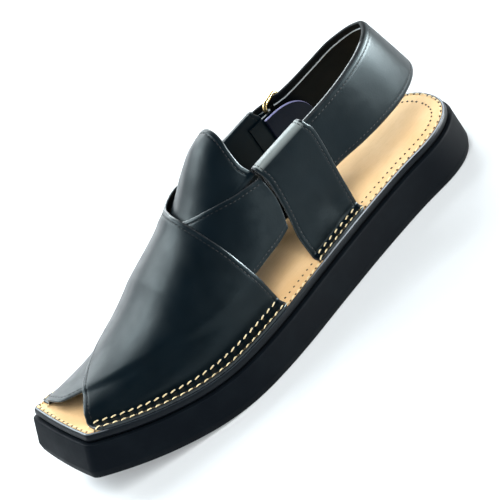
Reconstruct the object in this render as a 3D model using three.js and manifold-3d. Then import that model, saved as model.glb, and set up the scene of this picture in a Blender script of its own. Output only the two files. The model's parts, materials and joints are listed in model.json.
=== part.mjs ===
// Peshawari chappal, right shoe: an open leather sandal with two wide crossing panels over the
// instep, a domed tongue under them, a buckled heel strap held by two folded tabs, a tan insole
// and a thick, square-toed rubber sole with toe spring.
//
// Frame: millimetres, +X to the toe, +Y to the inner (medial) side, +Z up. The origin is the
// middle of the footprint of the whole shoe, on the floor.
import * as THREE from "three";
import { mergeVertices } from "three/addons/utils/BufferGeometryUtils.js";
import Module from "manifold-3d";

const wasm = await Module();
wasm.setup();

// Driving sizes of the sole
const soleLength = 290;
const ballWidth = 108.2;
const heelWidth = 73;
const toeWidth = 59.4;
const heelRound = 40;
const heelFullness = 2.3;
const toeCorner = 3.8;
const toeBulge = 1.2;
const outsoleHeel = 23.1;
const outsoleBall = 19.3;
const toeSpring = 20.9;
const springLength = 93;
const bevelInset = 1.7;
const bevelHeight = 4.1;
const clearance = 0.3;
const weld = 0.01;

// Driving sizes of the midsole band and the insole
const weltInset = 1.6;
const weltHeight = 5.1;
const weltEdge = 0.8;
const rimWidth = 1.3;
const insoleThickness = 1.6;

// Driving sizes of the upper
const instepHeight = 82;
const fullnessMedial = 2.22;
const fullnessLateral = 1.94;
const wall = 1.5;
const flangeMargin = 1;
const flangeWidth = 10.4;
const footRadius = 3;
const drape = 8;
const bite = 0.4;

// Driving sizes of the tongue
const tongueWall = 2.2;
const tongueReach = 88;
const tongueGap = 0.6;
const tongueBehind = 5;
const tongueSide = 50;
const tongueSideFront = 26;

// Driving sizes of the side tabs
const tabWall = 1.6;
const tabHeightMedial = 61;
const tabHeightLateral = 55.5;
const tabFall = 2;
const tabTopPlace = 28.4;
const tabBulge = 0.6;
const tabFlangeWidth = 8.5;
const tabLining = 34;
const liningGap = 0.6;

// Driving sizes of the heel strap, the buckle and the guard flap
const strapHeight = 56;
const strapWidth = 34;
const strapThickness = 3.2;
const strapPlay = 0.4;
const rod = 2.4;
const buckleBehind = 5.2;
const buckleReach = 13;
const buckleLift = 5.6;
const buckleHeight = 28;
const buckleCorner = 3.5;
const prongWidth = 2;
const prongTip = 2;
const slotPlay = 0.6;
const slotLength = 9.5;
const chapeWall = 1.2;
const chapeLeg = 15;
const chapeHeight = 21;
const guardThickness = 1.5;
const guardLength = 27;
const guardLap = 4.9;
const guardDrop = 7.7;
const guardHeight = 34;
const guardRound = 3;
const guardTip = 2.2;

// Section tables. "along" is a share of the sole length from the heel end.

// Half widths of the outsole, as shares of half the heel, ball and toe widths
const outlineTable = [
  { along: 0.0, heel: 1.0, medial: 0.0, lateral: 0.0, toe: 0.0 },
  { along: 0.155, heel: 1.0, medial: 0.0, lateral: 0.0, toe: 0.0 },
  { along: 0.293, heel: 0.6, medial: 0.336, lateral: 0.344, toe: 0.0 },
  { along: 0.431, heel: 0.25, medial: 0.693, lateral: 0.7, toe: 0.0 },
  { along: 0.552, heel: 0.0, medial: 0.98, lateral: 0.954, toe: 0.0 },
  { along: 0.655, heel: 0.0, medial: 1.028, lateral: 0.972, toe: 0.0 },
  { along: 0.741, heel: 0.0, medial: 0.98, lateral: 0.924, toe: 0.0 },
  { along: 0.845, heel: 0.0, medial: 0.62, lateral: 0.592, toe: 0.387 },
  { along: 0.914, heel: 0.0, medial: 0.33, lateral: 0.36, toe: 0.7 },
  { along: 1.0, heel: 0.0, medial: 0.0, lateral: 0.075, toe: 1.0 },
];

// Thickness of the outsole: share of the way from its ball to its heel thickness
const wedgeTable = [
  { along: 0.0, wedge: 1.0 },
  { along: 0.362, wedge: 0.4 },
  { along: 0.707, wedge: 0.0 },
  { along: 1.0, wedge: 0.0 },
];

// Height of the last's ridge over the insole, as a share of the instep height
const ridgeTable = [
  { along: 0.397, ridge: 1.015 },
  { along: 0.452, ridge: 0.963 },
  { along: 0.49, ridge: 0.878 },
  { along: 0.528, ridge: 0.766 },
  { along: 0.562, ridge: 0.68 },
  { along: 0.603, ridge: 0.617 },
  { along: 0.662, ridge: 0.535 },
  { along: 0.741, ridge: 0.415 },
  { along: 0.81, ridge: 0.317 },
  { along: 0.872, ridge: 0.235 },
  { along: 0.941, ridge: 0.146 },
  { along: 0.983, ridge: 0.095 },
  { along: 1.0, ridge: 0.08 },
];

// Edges of the two panels. "turn" is the angle round the last in degrees: 90 is the foot of the
// wall on the panel's own side, 0 the ridge, and below 0 the other side.
const medialRear = [
  { along: 0.537, turn: 90 },
  { along: 0.541, turn: 82 },
  { along: 0.549, turn: 68 },
  { along: 0.556, turn: 50 },
  { along: 0.562, turn: 28 },
  { along: 0.561, turn: 6 },
  { along: 0.555, turn: -8 },
  { along: 0.546, turn: -20 },
  { along: 0.512, turn: -35 },
  { along: 0.474, turn: -45.7 },
  { along: 0.443, turn: -50.6 },
  { along: 0.418, turn: -53.1 },
];
const medialFront = [
  { along: 0.972, turn: 90 },
  { along: 0.969, turn: 61 },
  { along: 0.956, turn: 33 },
  { along: 0.936, turn: 10.4 },
  { along: 0.909, turn: -5.7 },
  { along: 0.873, turn: -20 },
  { along: 0.822, turn: -37 },
  { along: 0.717, turn: -54 },
  { along: 0.634, turn: -65 },
  { along: 0.548, turn: -73 },
  { along: 0.509, turn: -75.3 },
  { along: 0.465, turn: -77 },
  { along: 0.436, turn: -76.7 },
];
const lateralRear = [
  { along: 0.537, turn: 90 },
  { along: 0.547, turn: 76 },
  { along: 0.558, turn: 57 },
  { along: 0.567, turn: 38 },
  { along: 0.572, turn: 20 },
  { along: 0.57, turn: 4 },
  { along: 0.56, turn: -10 },
  { along: 0.516, turn: -32.4 },
  { along: 0.474, turn: -45.7 },
  { along: 0.443, turn: -50.6 },
  { along: 0.418, turn: -53.1 },
];
const lateralFront = [
  { along: 0.97, turn: 90 },
  { along: 0.982, turn: 50 },
  { along: 0.982, turn: 24 },
  { along: 0.974, turn: 6.5 },
  { along: 0.959, turn: -1.8 },
  { along: 0.941, turn: -10 },
  { along: 0.895, turn: -25 },
  { along: 0.822, turn: -40 },
  { along: 0.717, turn: -54 },
  { along: 0.634, turn: -65 },
  { along: 0.548, turn: -73 },
  { along: 0.509, turn: -75.3 },
  { along: 0.465, turn: -77 },
  { along: 0.436, turn: -76.7 },
];
const panelEnd = [
  { along: 0.418, turn: -53.1 },
  { along: 0.419, turn: -65 },
  { along: 0.436, turn: -76.7 },
];

// Rear edge of the tongue: how far it stands behind its middle point
const tongueRear = [
  { turn: 0, back: 1.0 },
  { turn: 10, back: 0.99 },
  { turn: 20, back: 0.97 },
  { turn: 30, back: 0.93 },
  { turn: 40, back: 0.91 },
  { turn: 50, back: 0.98 },
];

// Side edges of a tab: "up" is a share of the tab's height, "front" and "rear" shares of the sole
// length from the heel end.
const tabTable = [
  { up: 0.0, front: 0.43, rear: 0.294 },
  { up: 0.2, front: 0.429, rear: 0.291 },
  { up: 0.42, front: 0.421, rear: 0.288 },
  { up: 0.65, front: 0.413, rear: 0.283 },
  { up: 0.84, front: 0.409, rear: 0.281 },
  { up: 1.0, front: 0.416, rear: 0.293 },
];

// Heel strap, from its end in the medial loop round the heel to its tip past the buckle.
// "along" is a share of the sole length from the heel end, "out" of half the heel width, "top" of
// the strap's height and "width" of its width; "lean" is how far the top edge stands inside the
// bottom edge, as a share of the strap width.
const strapTable = [
  { along: 0.405, out: 0.72, top: 0.97, width: 0.94, lean: 0.0 },
  { along: 0.33, out: 0.725, top: 0.985, width: 0.94, lean: 0.0 },
  { along: 0.27, out: 0.73, top: 1.0, width: 0.94, lean: 0.02 },
  { along: 0.21, out: 0.775, top: 1.015, width: 0.96, lean: 0.1 },
  { along: 0.15, out: 0.745, top: 1.035, width: 1.0, lean: 0.16 },
  { along: 0.089, out: 0.625, top: 1.06, width: 1.05, lean: 0.21 },
  { along: 0.039, out: 0.375, top: 1.08, width: 1.08, lean: 0.25 },
  { along: 0.012, out: 0.0, top: 1.09, width: 1.11, lean: 0.28 },
  { along: 0.034, out: -0.385, top: 1.065, width: 1.07, lean: 0.25 },
  { along: 0.089, out: -0.64, top: 1.015, width: 0.99, lean: 0.18 },
  { along: 0.15, out: -0.745, top: 0.945, width: 0.88, lean: 0.12 },
  { along: 0.2, out: -0.785, top: 0.895, width: 0.77, lean: 0.05 },
  { along: 0.22, out: -0.815, top: 0.878, width: 0.73, lean: 0.02 },
  { along: 0.243, out: -0.87, top: 0.87, width: 0.71, lean: 0.0, buckle: true },
  { along: 0.27, out: -0.945, top: 0.863, width: 0.7, lean: 0.0 },
  { along: 0.3, out: -0.975, top: 0.86, width: 0.7, lean: 0.0 },
  { along: 0.35, out: -0.98, top: 0.855, width: 0.69, lean: 0.0 },
  { along: 0.385, out: -0.98, top: 0.84, width: 0.62, lean: 0.0 },
  { along: 0.4, out: -0.98, top: 0.78, width: 0.4, lean: 0.0 },
];

// Smooth monotone curve through the rows of a table (Fritsch-Carlson slopes).
function smooth(table, key, value, at) {
  const rows = table[0][key] < table[table.length - 1][key] ? table : [...table].reverse();
  const last = rows.length - 1;
  const clamped = Math.min(Math.max(at, rows[0][key]), rows[last][key]);
  let k = 0;
  while (k < last - 1 && clamped > rows[k + 1][key]) {
    k += 1;
  }
  const slope = (i) => (rows[i + 1][value] - rows[i][value]) / (rows[i + 1][key] - rows[i][key]);
  const tangent = (i) => {
    if (i === 0) {
      return slope(0);
    }
    if (i === last) {
      return slope(last - 1);
    }
    const before = slope(i - 1);
    const after = slope(i);
    return before * after <= 0 ? 0 : (2 * before * after) / (before + after);
  };
  const span = rows[k + 1][key] - rows[k][key];
  const t = (clamped - rows[k][key]) / span;
  const a = rows[k][value];
  const b = rows[k + 1][value];
  const ma = tangent(k) * span;
  const mb = tangent(k + 1) * span;
  return a + t * (ma + t * (3 * (b - a) - 2 * ma - mb + t * (2 * (a - b) + ma + mb)));
}

function step(t) {
  const u = Math.min(Math.max(t, 0), 1);
  return u * u * (3 - 2 * u);
}

// Place of a share of the sole length, and the share of a place.
const atShare = (along) => (along - 0.5) * soleLength;
const shareOf = (x) => x / soleLength + 0.5;

function halfWidth(x, side) {
  const along = shareOf(x);
  const ball = side > 0 ? "medial" : "lateral";
  const heelPart = smooth(outlineTable, "along", "heel", along) * heelWidth;
  const ballPart = smooth(outlineTable, "along", ball, along) * ballWidth;
  const toePart = smooth(outlineTable, "along", "toe", along) * toeWidth;
  return (heelPart + ballPart + toePart) / 2;
}

function outsoleThickness(x) {
  return outsoleBall + (outsoleHeel - outsoleBall) * smooth(wedgeTable, "along", "wedge", shareOf(x));
}

// Top of the insole over the floor, before the toe is sprung.
const insoleTop = (x) => outsoleThickness(x) + clearance + weltHeight;

// Toe spring: the flat shoe bends up ahead of the ball, thickness square to its bottom.
function sprung(x, y, z) {
  const start = soleLength / 2 - springLength;
  const u = Math.max(x - start, 0) / springLength;
  const tilt = Math.atan((2 * toeSpring * u) / springLength);
  return new THREE.Vector3(x - z * Math.sin(tilt), y, toeSpring * u * u + z * Math.cos(tilt));
}

// Closed outline of the outsole as pairs of points, medial then lateral, from heel to toe.
function outlinePairs() {
  const heelSteps = 8;
  const bodySteps = 17;
  const cornerSteps = 3;
  const tip = 0.05;
  const pairs = [];
  for (let i = 0; i <= heelSteps; i += 1) {
    const turn = tip + ((Math.PI / 2 - tip) * i) / heelSteps;
    const round = Math.pow(Math.sin(turn), 2 / heelFullness);
    const ahead = Math.pow(Math.max(Math.cos(turn), 0), 2 / heelFullness);
    const x = -soleLength / 2 + heelRound * (1 - ahead);
    pairs.push([x, halfWidth(x, 1) * round, halfWidth(x, -1) * round]);
  }
  const bodyStart = -soleLength / 2 + heelRound;
  const bodyEnd = soleLength / 2 - toeCorner;
  for (let i = 1; i <= bodySteps; i += 1) {
    const x = bodyStart + ((bodyEnd - bodyStart) * i) / bodySteps;
    pairs.push([x, halfWidth(x, 1), halfWidth(x, -1)]);
  }
  for (let i = 1; i <= cornerSteps; i += 1) {
    const turn = (Math.PI / 2) * (i / cornerSteps);
    const x = bodyEnd + toeCorner * Math.sin(turn);
    const pull = toeCorner * (1 - Math.cos(turn));
    pairs.push([x, halfWidth(x, 1) - pull, halfWidth(x, -1) - pull]);
  }
  const [, endMedial, endLateral] = pairs[pairs.length - 1];
  for (const share of [0.5, 0.125]) {
    pairs.push([soleLength / 2 + toeBulge * (1 - share * share), endMedial * share, endLateral * share]);
  }
  return pairs;
}

// The outline as one ring, moved inwards by an inset: medial side from heel to toe and back.
function outlineRing(inset) {
  const pairs = outlinePairs();
  const ring = pairs.map((p) => new THREE.Vector2(p[0], p[1]));
  for (const p of [...pairs].reverse()) {
    ring.push(new THREE.Vector2(p[0], -p[2]));
  }
  return ring.map((point, i) => {
    const before = ring[(i + ring.length - 1) % ring.length];
    const after = ring[(i + 1) % ring.length];
    const a = point.clone().sub(before).normalize();
    const b = after.clone().sub(point).normalize();
    const along = a.add(b).normalize();
    return new THREE.Vector2(point.x + along.y * inset, point.y - along.x * inset);
  });
}

// A plate in the outline of the sole: rings from its bottom face up, over its edge and across its
// top, each with an inset and a height rule, closed below and above by ladders of cross strips.
function plate(rings) {
  const points = [];
  const index = [];
  const count = outlineRing(0).length;
  for (const ring of rings) {
    for (const p of outlineRing(ring.inset)) {
      const v = sprung(p.x, p.y, ring.height(p.x));
      points.push(v.x, v.y, v.z);
    }
  }
  for (let r = 0; r + 1 < rings.length; r += 1) {
    for (let i = 0; i < count; i += 1) {
      const j = (i + 1) % count;
      const a = r * count + i;
      const b = r * count + j;
      index.push(a, a + count, b, b, a + count, b + count);
    }
  }
  for (const [start, flip] of [[0, false], [(rings.length - 1) * count, true]]) {
    for (let i = 0; i + 1 < count / 2; i += 1) {
      const a = start + i;
      const b = start + i + 1;
      const c = start + count - 1 - i;
      const d = start + count - 2 - i;
      const quad = flip ? [a, c, b, b, c, d] : [a, b, c, b, d, c];
      index.push(...quad);
    }
  }
  return closed(points, index);
}

// A geometry from points and triangles, turned so that its faces point outwards.
function closed(points, index) {
  const corner = (i) => new THREE.Vector3(points[3 * i], points[3 * i + 1], points[3 * i + 2]);
  let volume = 0;
  for (let i = 0; i < index.length; i += 3) {
    volume += corner(index[i]).dot(corner(index[i + 1]).cross(corner(index[i + 2])));
  }
  const faces = [...index];
  if (volume < 0) {
    for (let i = 0; i < faces.length; i += 3) {
      [faces[i + 1], faces[i + 2]] = [faces[i + 2], faces[i + 1]];
    }
  }
  const geometry = new THREE.BufferGeometry();
  geometry.setAttribute("position", new THREE.Float32BufferAttribute(points, 3));
  geometry.setIndex(faces);
  return geometry;
}

// A sheet with a thickness: corner(i, j) gives the inner and the outer point of a grid of rows by
// columns, and the four edges are closed by rims.
function sheet(rows, columns, corner) {
  const points = [];
  const index = [];
  for (const layer of [0, 1]) {
    for (let i = 0; i <= rows; i += 1) {
      for (let j = 0; j <= columns; j += 1) {
        points.push(...corner(i, j)[layer].toArray());
      }
    }
  }
  const at = (layer, i, j) => layer * (rows + 1) * (columns + 1) + i * (columns + 1) + j;
  for (let i = 0; i < rows; i += 1) {
    for (let j = 0; j < columns; j += 1) {
      const [a, b, c, d] = [at(0, i, j), at(0, i, j + 1), at(0, i + 1, j), at(0, i + 1, j + 1)];
      const [e, f, g, h] = [at(1, i, j), at(1, i, j + 1), at(1, i + 1, j), at(1, i + 1, j + 1)];
      index.push(a, b, c, b, d, c, e, g, f, f, g, h);
    }
  }
  const rim = (a, b, c, d) => index.push(a, b, c, b, d, c);
  for (let j = 0; j < columns; j += 1) {
    rim(at(0, 0, j), at(1, 0, j), at(0, 0, j + 1), at(1, 0, j + 1));
    rim(at(0, rows, j + 1), at(1, rows, j + 1), at(0, rows, j), at(1, rows, j));
  }
  for (let i = 0; i < rows; i += 1) {
    rim(at(0, i + 1, 0), at(1, i + 1, 0), at(0, i, 0), at(1, i, 0));
    rim(at(0, i, columns), at(1, i, columns), at(0, i + 1, columns), at(1, i + 1, columns));
  }
  return closed(points, index);
}

// A bar whose section is a closed loop: corner(i, j) gives point j of the loop at station i.
function bar(stations, sides, corner, ring = false) {
  const points = [];
  const index = [];
  const count = ring ? stations : stations + 1;
  for (let i = 0; i < count; i += 1) {
    for (let j = 0; j < sides; j += 1) {
      points.push(...corner(i, j).toArray());
    }
  }
  for (let i = 0; i < stations; i += 1) {
    const n = (i + 1) % count;
    for (let j = 0; j < sides; j += 1) {
      const k = (j + 1) % sides;
      index.push(i * sides + j, i * sides + k, n * sides + j);
      index.push(i * sides + k, n * sides + k, n * sides + j);
    }
  }
  if (!ring) {
    for (let j = 1; j + 1 < sides; j += 1) {
      index.push(0, j + 1, j);
      index.push(stations * sides, stations * sides + j, stations * sides + j + 1);
    }
  }
  return closed(points, index);
}

function toSolid(geometry) {
  const bare = geometry.clone();
  bare.deleteAttribute("normal");
  bare.deleteAttribute("uv");
  const merged = mergeVertices(bare, 1e-5);
  return new wasm.Manifold(
    new wasm.Mesh({
      numProp: 3,
      vertProperties: new Float32Array(merged.attributes.position.array),
      triVerts: new Uint32Array(merged.index.array),
    }),
  );
}

// A cut or joined solid as a geometry: corners closer than the weld distance become one, and the
// slivers between them go.
function fromSolid(solid) {
  const mesh = solid.getMesh();
  const geometry = new THREE.BufferGeometry();
  geometry.setAttribute("position", new THREE.BufferAttribute(new Float32Array(mesh.vertProperties), 3));
  geometry.setIndex([...mesh.triVerts]);
  const merged = mergeVertices(geometry, weld);
  const index = merged.index.array;
  const faces = [];
  for (let i = 0; i < index.length; i += 3) {
    const [a, b, c] = [index[i], index[i + 1], index[i + 2]];
    if (a !== b && b !== c && c !== a) {
      faces.push(a, b, c);
    }
  }
  merged.setIndex(faces);
  return merged;
}

const quarterTurn = 90;

// The last's section at a place: a superellipse from the ridge to the foot of the wall, then a
// fillet and a flat flange. Past 90 the turn goes on in millimetres along fillet and flange.
function lastSection(x, turn) {
  const side = turn < 0 ? -1 : 1;
  const power = 2 / (side > 0 ? fullnessMedial : fullnessLateral);
  const base = halfWidth(x, side) - weltInset - flangeMargin - flangeWidth;
  const ridge = instepHeight * smooth(ridgeTable, "along", "ridge", shareOf(x));
  const angle = THREE.MathUtils.degToRad(Math.min(Math.abs(turn), quarterTurn));
  const foot = Math.max(Math.abs(turn) - quarterTurn, 0);
  const fold = Math.min(foot / footRadius, Math.PI / 2);
  const flat = Math.max(foot - (footRadius * Math.PI) / 2, 0);
  const out = base * Math.pow(Math.sin(angle), power) + footRadius * (1 - Math.cos(fold)) + flat;
  const up = footRadius * (1 - Math.sin(fold)) + (ridge - footRadius) * Math.pow(Math.max(Math.cos(angle), 0), power);
  return sprung(x, side * out, insoleTop(x) + clearance + up);
}

// A point of the last's skin, lifted square to it by a distance.
function skin(x, turn, lift) {
  const reach = 0.5;
  const point = lastSection(x, turn);
  const forward = lastSection(x + reach, turn).sub(lastSection(x - reach, turn));
  const around = lastSection(x, turn + reach).sub(lastSection(x, turn - reach));
  return point.addScaledVector(forward.cross(around).normalize(), lift);
}

// An edge table as a curve over the skin, with degrees of turn as lengths of about that size.
const turnLength = 0.6;
function edgeCurve(table) {
  const points = table.map((row) => new THREE.Vector3(atShare(row.along), row.turn * turnLength, 0));
  return new THREE.CatmullRomCurve3(points, false, "centripetal");
}

// A patch between the rear, front and end edges of a panel and its straight base: a Coons patch.
function panelPatch(rear, front, end) {
  const rearCurve = edgeCurve(rear);
  const frontCurve = edgeCurve(front);
  const endCurve = edgeCurve(end);
  const corners = [rearCurve.getPoint(0), rearCurve.getPoint(1), frontCurve.getPoint(0), frontCurve.getPoint(1)];
  return (u, v) => {
    const point = rearCurve.getPointAt(u).multiplyScalar(1 - v);
    point.addScaledVector(frontCurve.getPointAt(u), v);
    point.addScaledVector(corners[0].clone().lerp(corners[2], v), 1 - u);
    point.addScaledVector(endCurve.getPointAt(v), u);
    point.addScaledVector(corners[0], -(1 - u) * (1 - v));
    point.addScaledVector(corners[1], -u * (1 - v));
    point.addScaledVector(corners[2], -(1 - u) * v);
    point.addScaledVector(corners[3], -u * v);
    return { x: point.x, turn: point.y / turnLength };
  };
}

// How far the medial panel lies on the lateral one: 1 over it, down to 0 past its edges.
function covered(x, turn) {
  const along = shareOf(x);
  const lowerTurn = -smooth(lateralFront, "along", "turn", along);
  const rearPlace = atShare(smooth(lateralRear, "turn", "along", -turn));
  const own = step(((lowerTurn - turn) * turnLength) / drape + 1);
  const far = step((x - rearPlace) / drape + 1);
  return own * far;
}

function panel(side, rear, front, lift) {
  const patch = panelPatch(rear, front, panelEnd);
  const across = 14;
  const round = 26;
  const flat = flangeWidth - footRadius;
  const arc = (footRadius * Math.PI) / 2;
  const feet = [arc + flat, arc + flat / 2, arc, (arc * 2) / 3, arc / 3];
  return sheet(feet.length + round, across, (i, j) => {
    const u = Math.max(i - feet.length, 0) / round;
    const spot = patch(u, j / across);
    const turn = i < feet.length ? quarterTurn + feet[i] : spot.turn;
    const cover = lift ? covered(spot.x, side * turn) : 0;
    return [
      skin(spot.x, side * turn, cover * (wall - bite)),
      skin(spot.x, side * turn, wall * (1 + cover)),
    ];
  });
}

function upper() {
  const lateral = toSolid(panel(-1, lateralRear, lateralFront, false));
  const medial = toSolid(panel(1, medialRear, medialFront, true));
  return fromSolid(medial.add(lateral));
}

function tongue() {
  const lengthways = 16;
  const across = 16;
  const middle = atShare(medialRear[5].along);
  const back = atShare(ridgeTable[0].along) - middle + tongueBehind;
  return sheet(lengthways, across, (i, j) => {
    const share = i / lengthways;
    const side = (2 * j) / across - 1;
    const front = middle + back + tongueReach;
    const turn = side * THREE.MathUtils.lerp(tongueSide, tongueSideFront, step(share));
    const rear = middle + back * smooth(tongueRear, "turn", "back", Math.abs(side) * tongueSide);
    const x = THREE.MathUtils.lerp(rear, front, share);
    return [skin(x, turn, -tongueGap - tongueWall), skin(x, turn, -tongueGap)];
  });
}

// Inner face of a tab's wall at a place along the sole and a share of its height.
function tabWallPlace(x, side, share) {
  const base = halfWidth(x, side) - weltInset - flangeMargin - tabFlangeWidth;
  return THREE.MathUtils.lerp(base, tabTopPlace, share) + tabBulge * Math.sin(Math.PI * share);
}

// The path of a tab's sheet at a place along the sole: over its flange, up the wall, over the fold
// at its top and down again inside. Each stop has the place of its inner face, out and up, and the
// way that its thickness goes.
function tabPath(x, side, height, gap) {
  const base = tabWallPlace(x, side, 0);
  const foldRadius = gap / 2;
  const shoulder = height - foldRadius - tabWall;
  const stops = [];
  for (const share of [1, 0.5]) {
    stops.push([base + footRadius + (tabFlangeWidth - footRadius) * share, 0, 0, 1]);
  }
  for (const share of [1, 0.67, 0.33]) {
    const turn = (share * Math.PI) / 2;
    const [c, r] = [Math.cos(turn), Math.sin(turn)];
    stops.push([base + footRadius * (1 - c), footRadius * (1 - r), c, r]);
  }
  const wallSteps = 7;
  for (let k = 0; k <= wallSteps; k += 1) {
    const share = k / wallSteps;
    stops.push([tabWallPlace(x, side, share), THREE.MathUtils.lerp(footRadius, shoulder, share), 1, 0]);
  }
  const foldSteps = 6;
  for (let k = 1; k < foldSteps; k += 1) {
    const turn = (Math.PI * k) / foldSteps;
    const [c, r] = [Math.cos(turn), Math.sin(turn)];
    stops.push([tabTopPlace - foldRadius + foldRadius * c, shoulder + foldRadius * r, c, r]);
  }
  const liningSteps = 4;
  for (let k = 0; k <= liningSteps; k += 1) {
    stops.push([tabTopPlace - gap, shoulder - (tabLining * k) / liningSteps, -1, 0]);
  }
  return stops;
}

function tab(side, height, gap) {
  const across = 7;
  const middle = atShare((tabTable[0].front + tabTable[0].rear) / 2);
  const stops = tabPath(middle, side, height, gap);
  return sheet(stops.length - 1, across, (i, j) => {
    const up = stops[i][1] / height;
    const front = atShare(smooth(tabTable, "up", "front", up));
    const rear = atShare(smooth(tabTable, "up", "rear", up));
    const x = THREE.MathUtils.lerp(rear, front, j / across);
    const fall = (tabFall * up * j) / across;
    const [out, rise, outWay, upWay] = tabPath(x, side, height, gap)[i];
    const floor = insoleTop(x) + clearance - fall;
    return [
      new THREE.Vector3(x, side * out, floor + rise),
      new THREE.Vector3(x, side * (out + outWay * tabWall), floor + rise + upWay * tabWall),
    ];
  });
}

// The strap's route: middle of its bottom edge as a smooth curve through the table's rows.
const heelFloor = insoleTop(-soleLength / 2);
const strapRows = strapTable.map((entry, row) => ({ ...entry, row }));
const strapRoute = new THREE.CatmullRomCurve3(
  strapTable.map((entry) => new THREE.Vector3(atShare(entry.along), (entry.out * heelWidth) / 2, 0)),
  false,
  "centripetal",
);

// A point of the strap: its share of the route, and the shares of its thickness and width.
function strapPoint(share, across, up) {
  const ahead = strapRoute.getTangent(share);
  const outwards = new THREE.Vector3(-ahead.y, ahead.x, 0).negate();
  const row = share * (strapTable.length - 1);
  const lean = smooth(strapRows, "row", "lean", row) * strapWidth * up;
  const width = smooth(strapRows, "row", "width", row) * strapWidth;
  const point = strapRoute.getPoint(share).addScaledVector(outwards, across * strapThickness - lean);
  point.z = heelFloor + smooth(strapRows, "row", "top", row) * strapHeight - width * (1 - up);
  return point;
}

// The strap's section: a band with rounded edges, as shares of its thickness and its width.
const strapSection = [
  [-0.5, 0.05], [-0.5, 0.5], [-0.5, 0.95], [-0.22, 1], [0.22, 1],
  [0.5, 0.95], [0.5, 0.5], [0.5, 0.05], [0.22, 0], [-0.22, 0],
];

function heelStrap() {
  const stations = 48;
  const band = bar(stations, strapSection.length, (i, j) => strapPoint(i / stations, ...strapSection[j]));
  const slot = slotBox(frontBar.x - slotLength / 2, slotLength);
  return fromSolid(toSolid(band).subtract(toSolid(slot)));
}

// The buckle lies against the outer side of the strap: its front bar behind the tab, under the
// strap, and its rear bar over the strap.
const tabDepth = tabWall + (tabWall + liningGap) / 2;
const barPlace = tabTopPlace + tabWall - tabDepth;
const buckleRow = strapTable.find((entry) => entry.buckle);
const barHeight = heelFloor + buckleRow.top * strapHeight - (buckleRow.width * strapWidth) / 2;
const barShare = (barHeight - heelFloor) / tabHeightLateral;
const tabRear = atShare(smooth(tabTable, "up", "rear", barShare));
const frontBar = new THREE.Vector3(tabRear - buckleBehind, -barPlace, barHeight);
const rearBar = new THREE.Vector3(frontBar.x - buckleReach, -barPlace - buckleLift, barHeight);
const upwards = new THREE.Vector3(0, 0, 1);
const buckleBack = rearBar.clone().sub(frontBar).normalize();
const buckleOut = new THREE.Vector3().crossVectors(upwards, buckleBack).normalize();

// A place in the buckle's own plane: behind the front bar, above its middle and out of the plane.
function bucklePlace(back, up, out) {
  return frontBar.clone()
    .addScaledVector(buckleBack, back)
    .addScaledVector(upwards, up)
    .addScaledVector(buckleOut, out);
}

// A round bar along points in one plane, open or closed to a loop.
function roundBar(points, radius, sides, planeNormal, loop) {
  const last = points.length - 1;
  return bar(loop ? points.length : last, sides, (i, j) => {
    const before = points[loop ? (i + last) % points.length : Math.max(i - 1, 0)];
    const after = points[loop ? (i + 1) % points.length : Math.min(i + 1, last)];
    const side = after.clone().sub(before).normalize().cross(planeNormal);
    const turn = (2 * Math.PI * j) / sides;
    return points[i].clone()
      .addScaledVector(planeNormal, radius * Math.cos(turn))
      .addScaledVector(side, radius * Math.sin(turn));
  }, loop);
}

function buckleFrame() {
  const length = frontBar.distanceTo(rearBar);
  const points = [];
  const cornerSteps = 3;
  for (const [back, up, start] of [[1, 1, 0], [0, 1, 90], [0, -1, 180], [1, -1, 270]]) {
    for (let k = 0; k <= cornerSteps; k += 1) {
      const turn = THREE.MathUtils.degToRad(start + (90 * k) / cornerSteps);
      const inset = back > 0 ? length - buckleCorner : buckleCorner;
      const rise = up * (buckleHeight / 2 - buckleCorner);
      points.push(bucklePlace(inset + buckleCorner * Math.cos(turn), rise + buckleCorner * Math.sin(turn), 0));
    }
  }
  return roundBar(points, rod / 2, 8, buckleOut, true);
}

// The prong hooks round the front bar, comes out through the strap and rests on the rear bar.
function buckleProng() {
  const hook = rod / 2 + clearance + prongWidth / 2;
  const length = frontBar.distanceTo(rearBar);
  const points = [];
  for (const degrees of [215, 170, 125, 80, 35, 0]) {
    const turn = THREE.MathUtils.degToRad(degrees);
    points.push(bucklePlace(-hook * Math.sin(turn), 0, hook * Math.cos(turn)));
  }
  points.push(bucklePlace(length / 2, 0, hook));
  points.push(bucklePlace(length + prongTip, 0, hook));
  return roundBar(points, prongWidth / 2, 6, upwards, false);
}

// The box that a slot for the prong is cut with.
function slotBox(x, length) {
  const box = new THREE.BoxGeometry(length, heelWidth / 2, prongWidth + 2 * slotPlay);
  return box.translate(x, -heelWidth / 2, barHeight);
}

// A strip on edge: a plan path of stops, its thickness to the left of the path seen from above,
// and its height rule by stop and share.
function strip(path, thickness, height) {
  const levels = 2;
  return sheet(path.length - 1, levels, (i, j) => {
    const before = path[Math.max(i - 1, 0)];
    const after = path[Math.min(i + 1, path.length - 1)];
    const ahead = new THREE.Vector3(after[0] - before[0], after[1] - before[1], 0).normalize();
    const point = new THREE.Vector3(path[i][0], path[i][1], height(i, j / levels));
    return [point, point.clone().addScaledVector(new THREE.Vector3(-ahead.y, ahead.x, 0), thickness)];
  });
}

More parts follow.
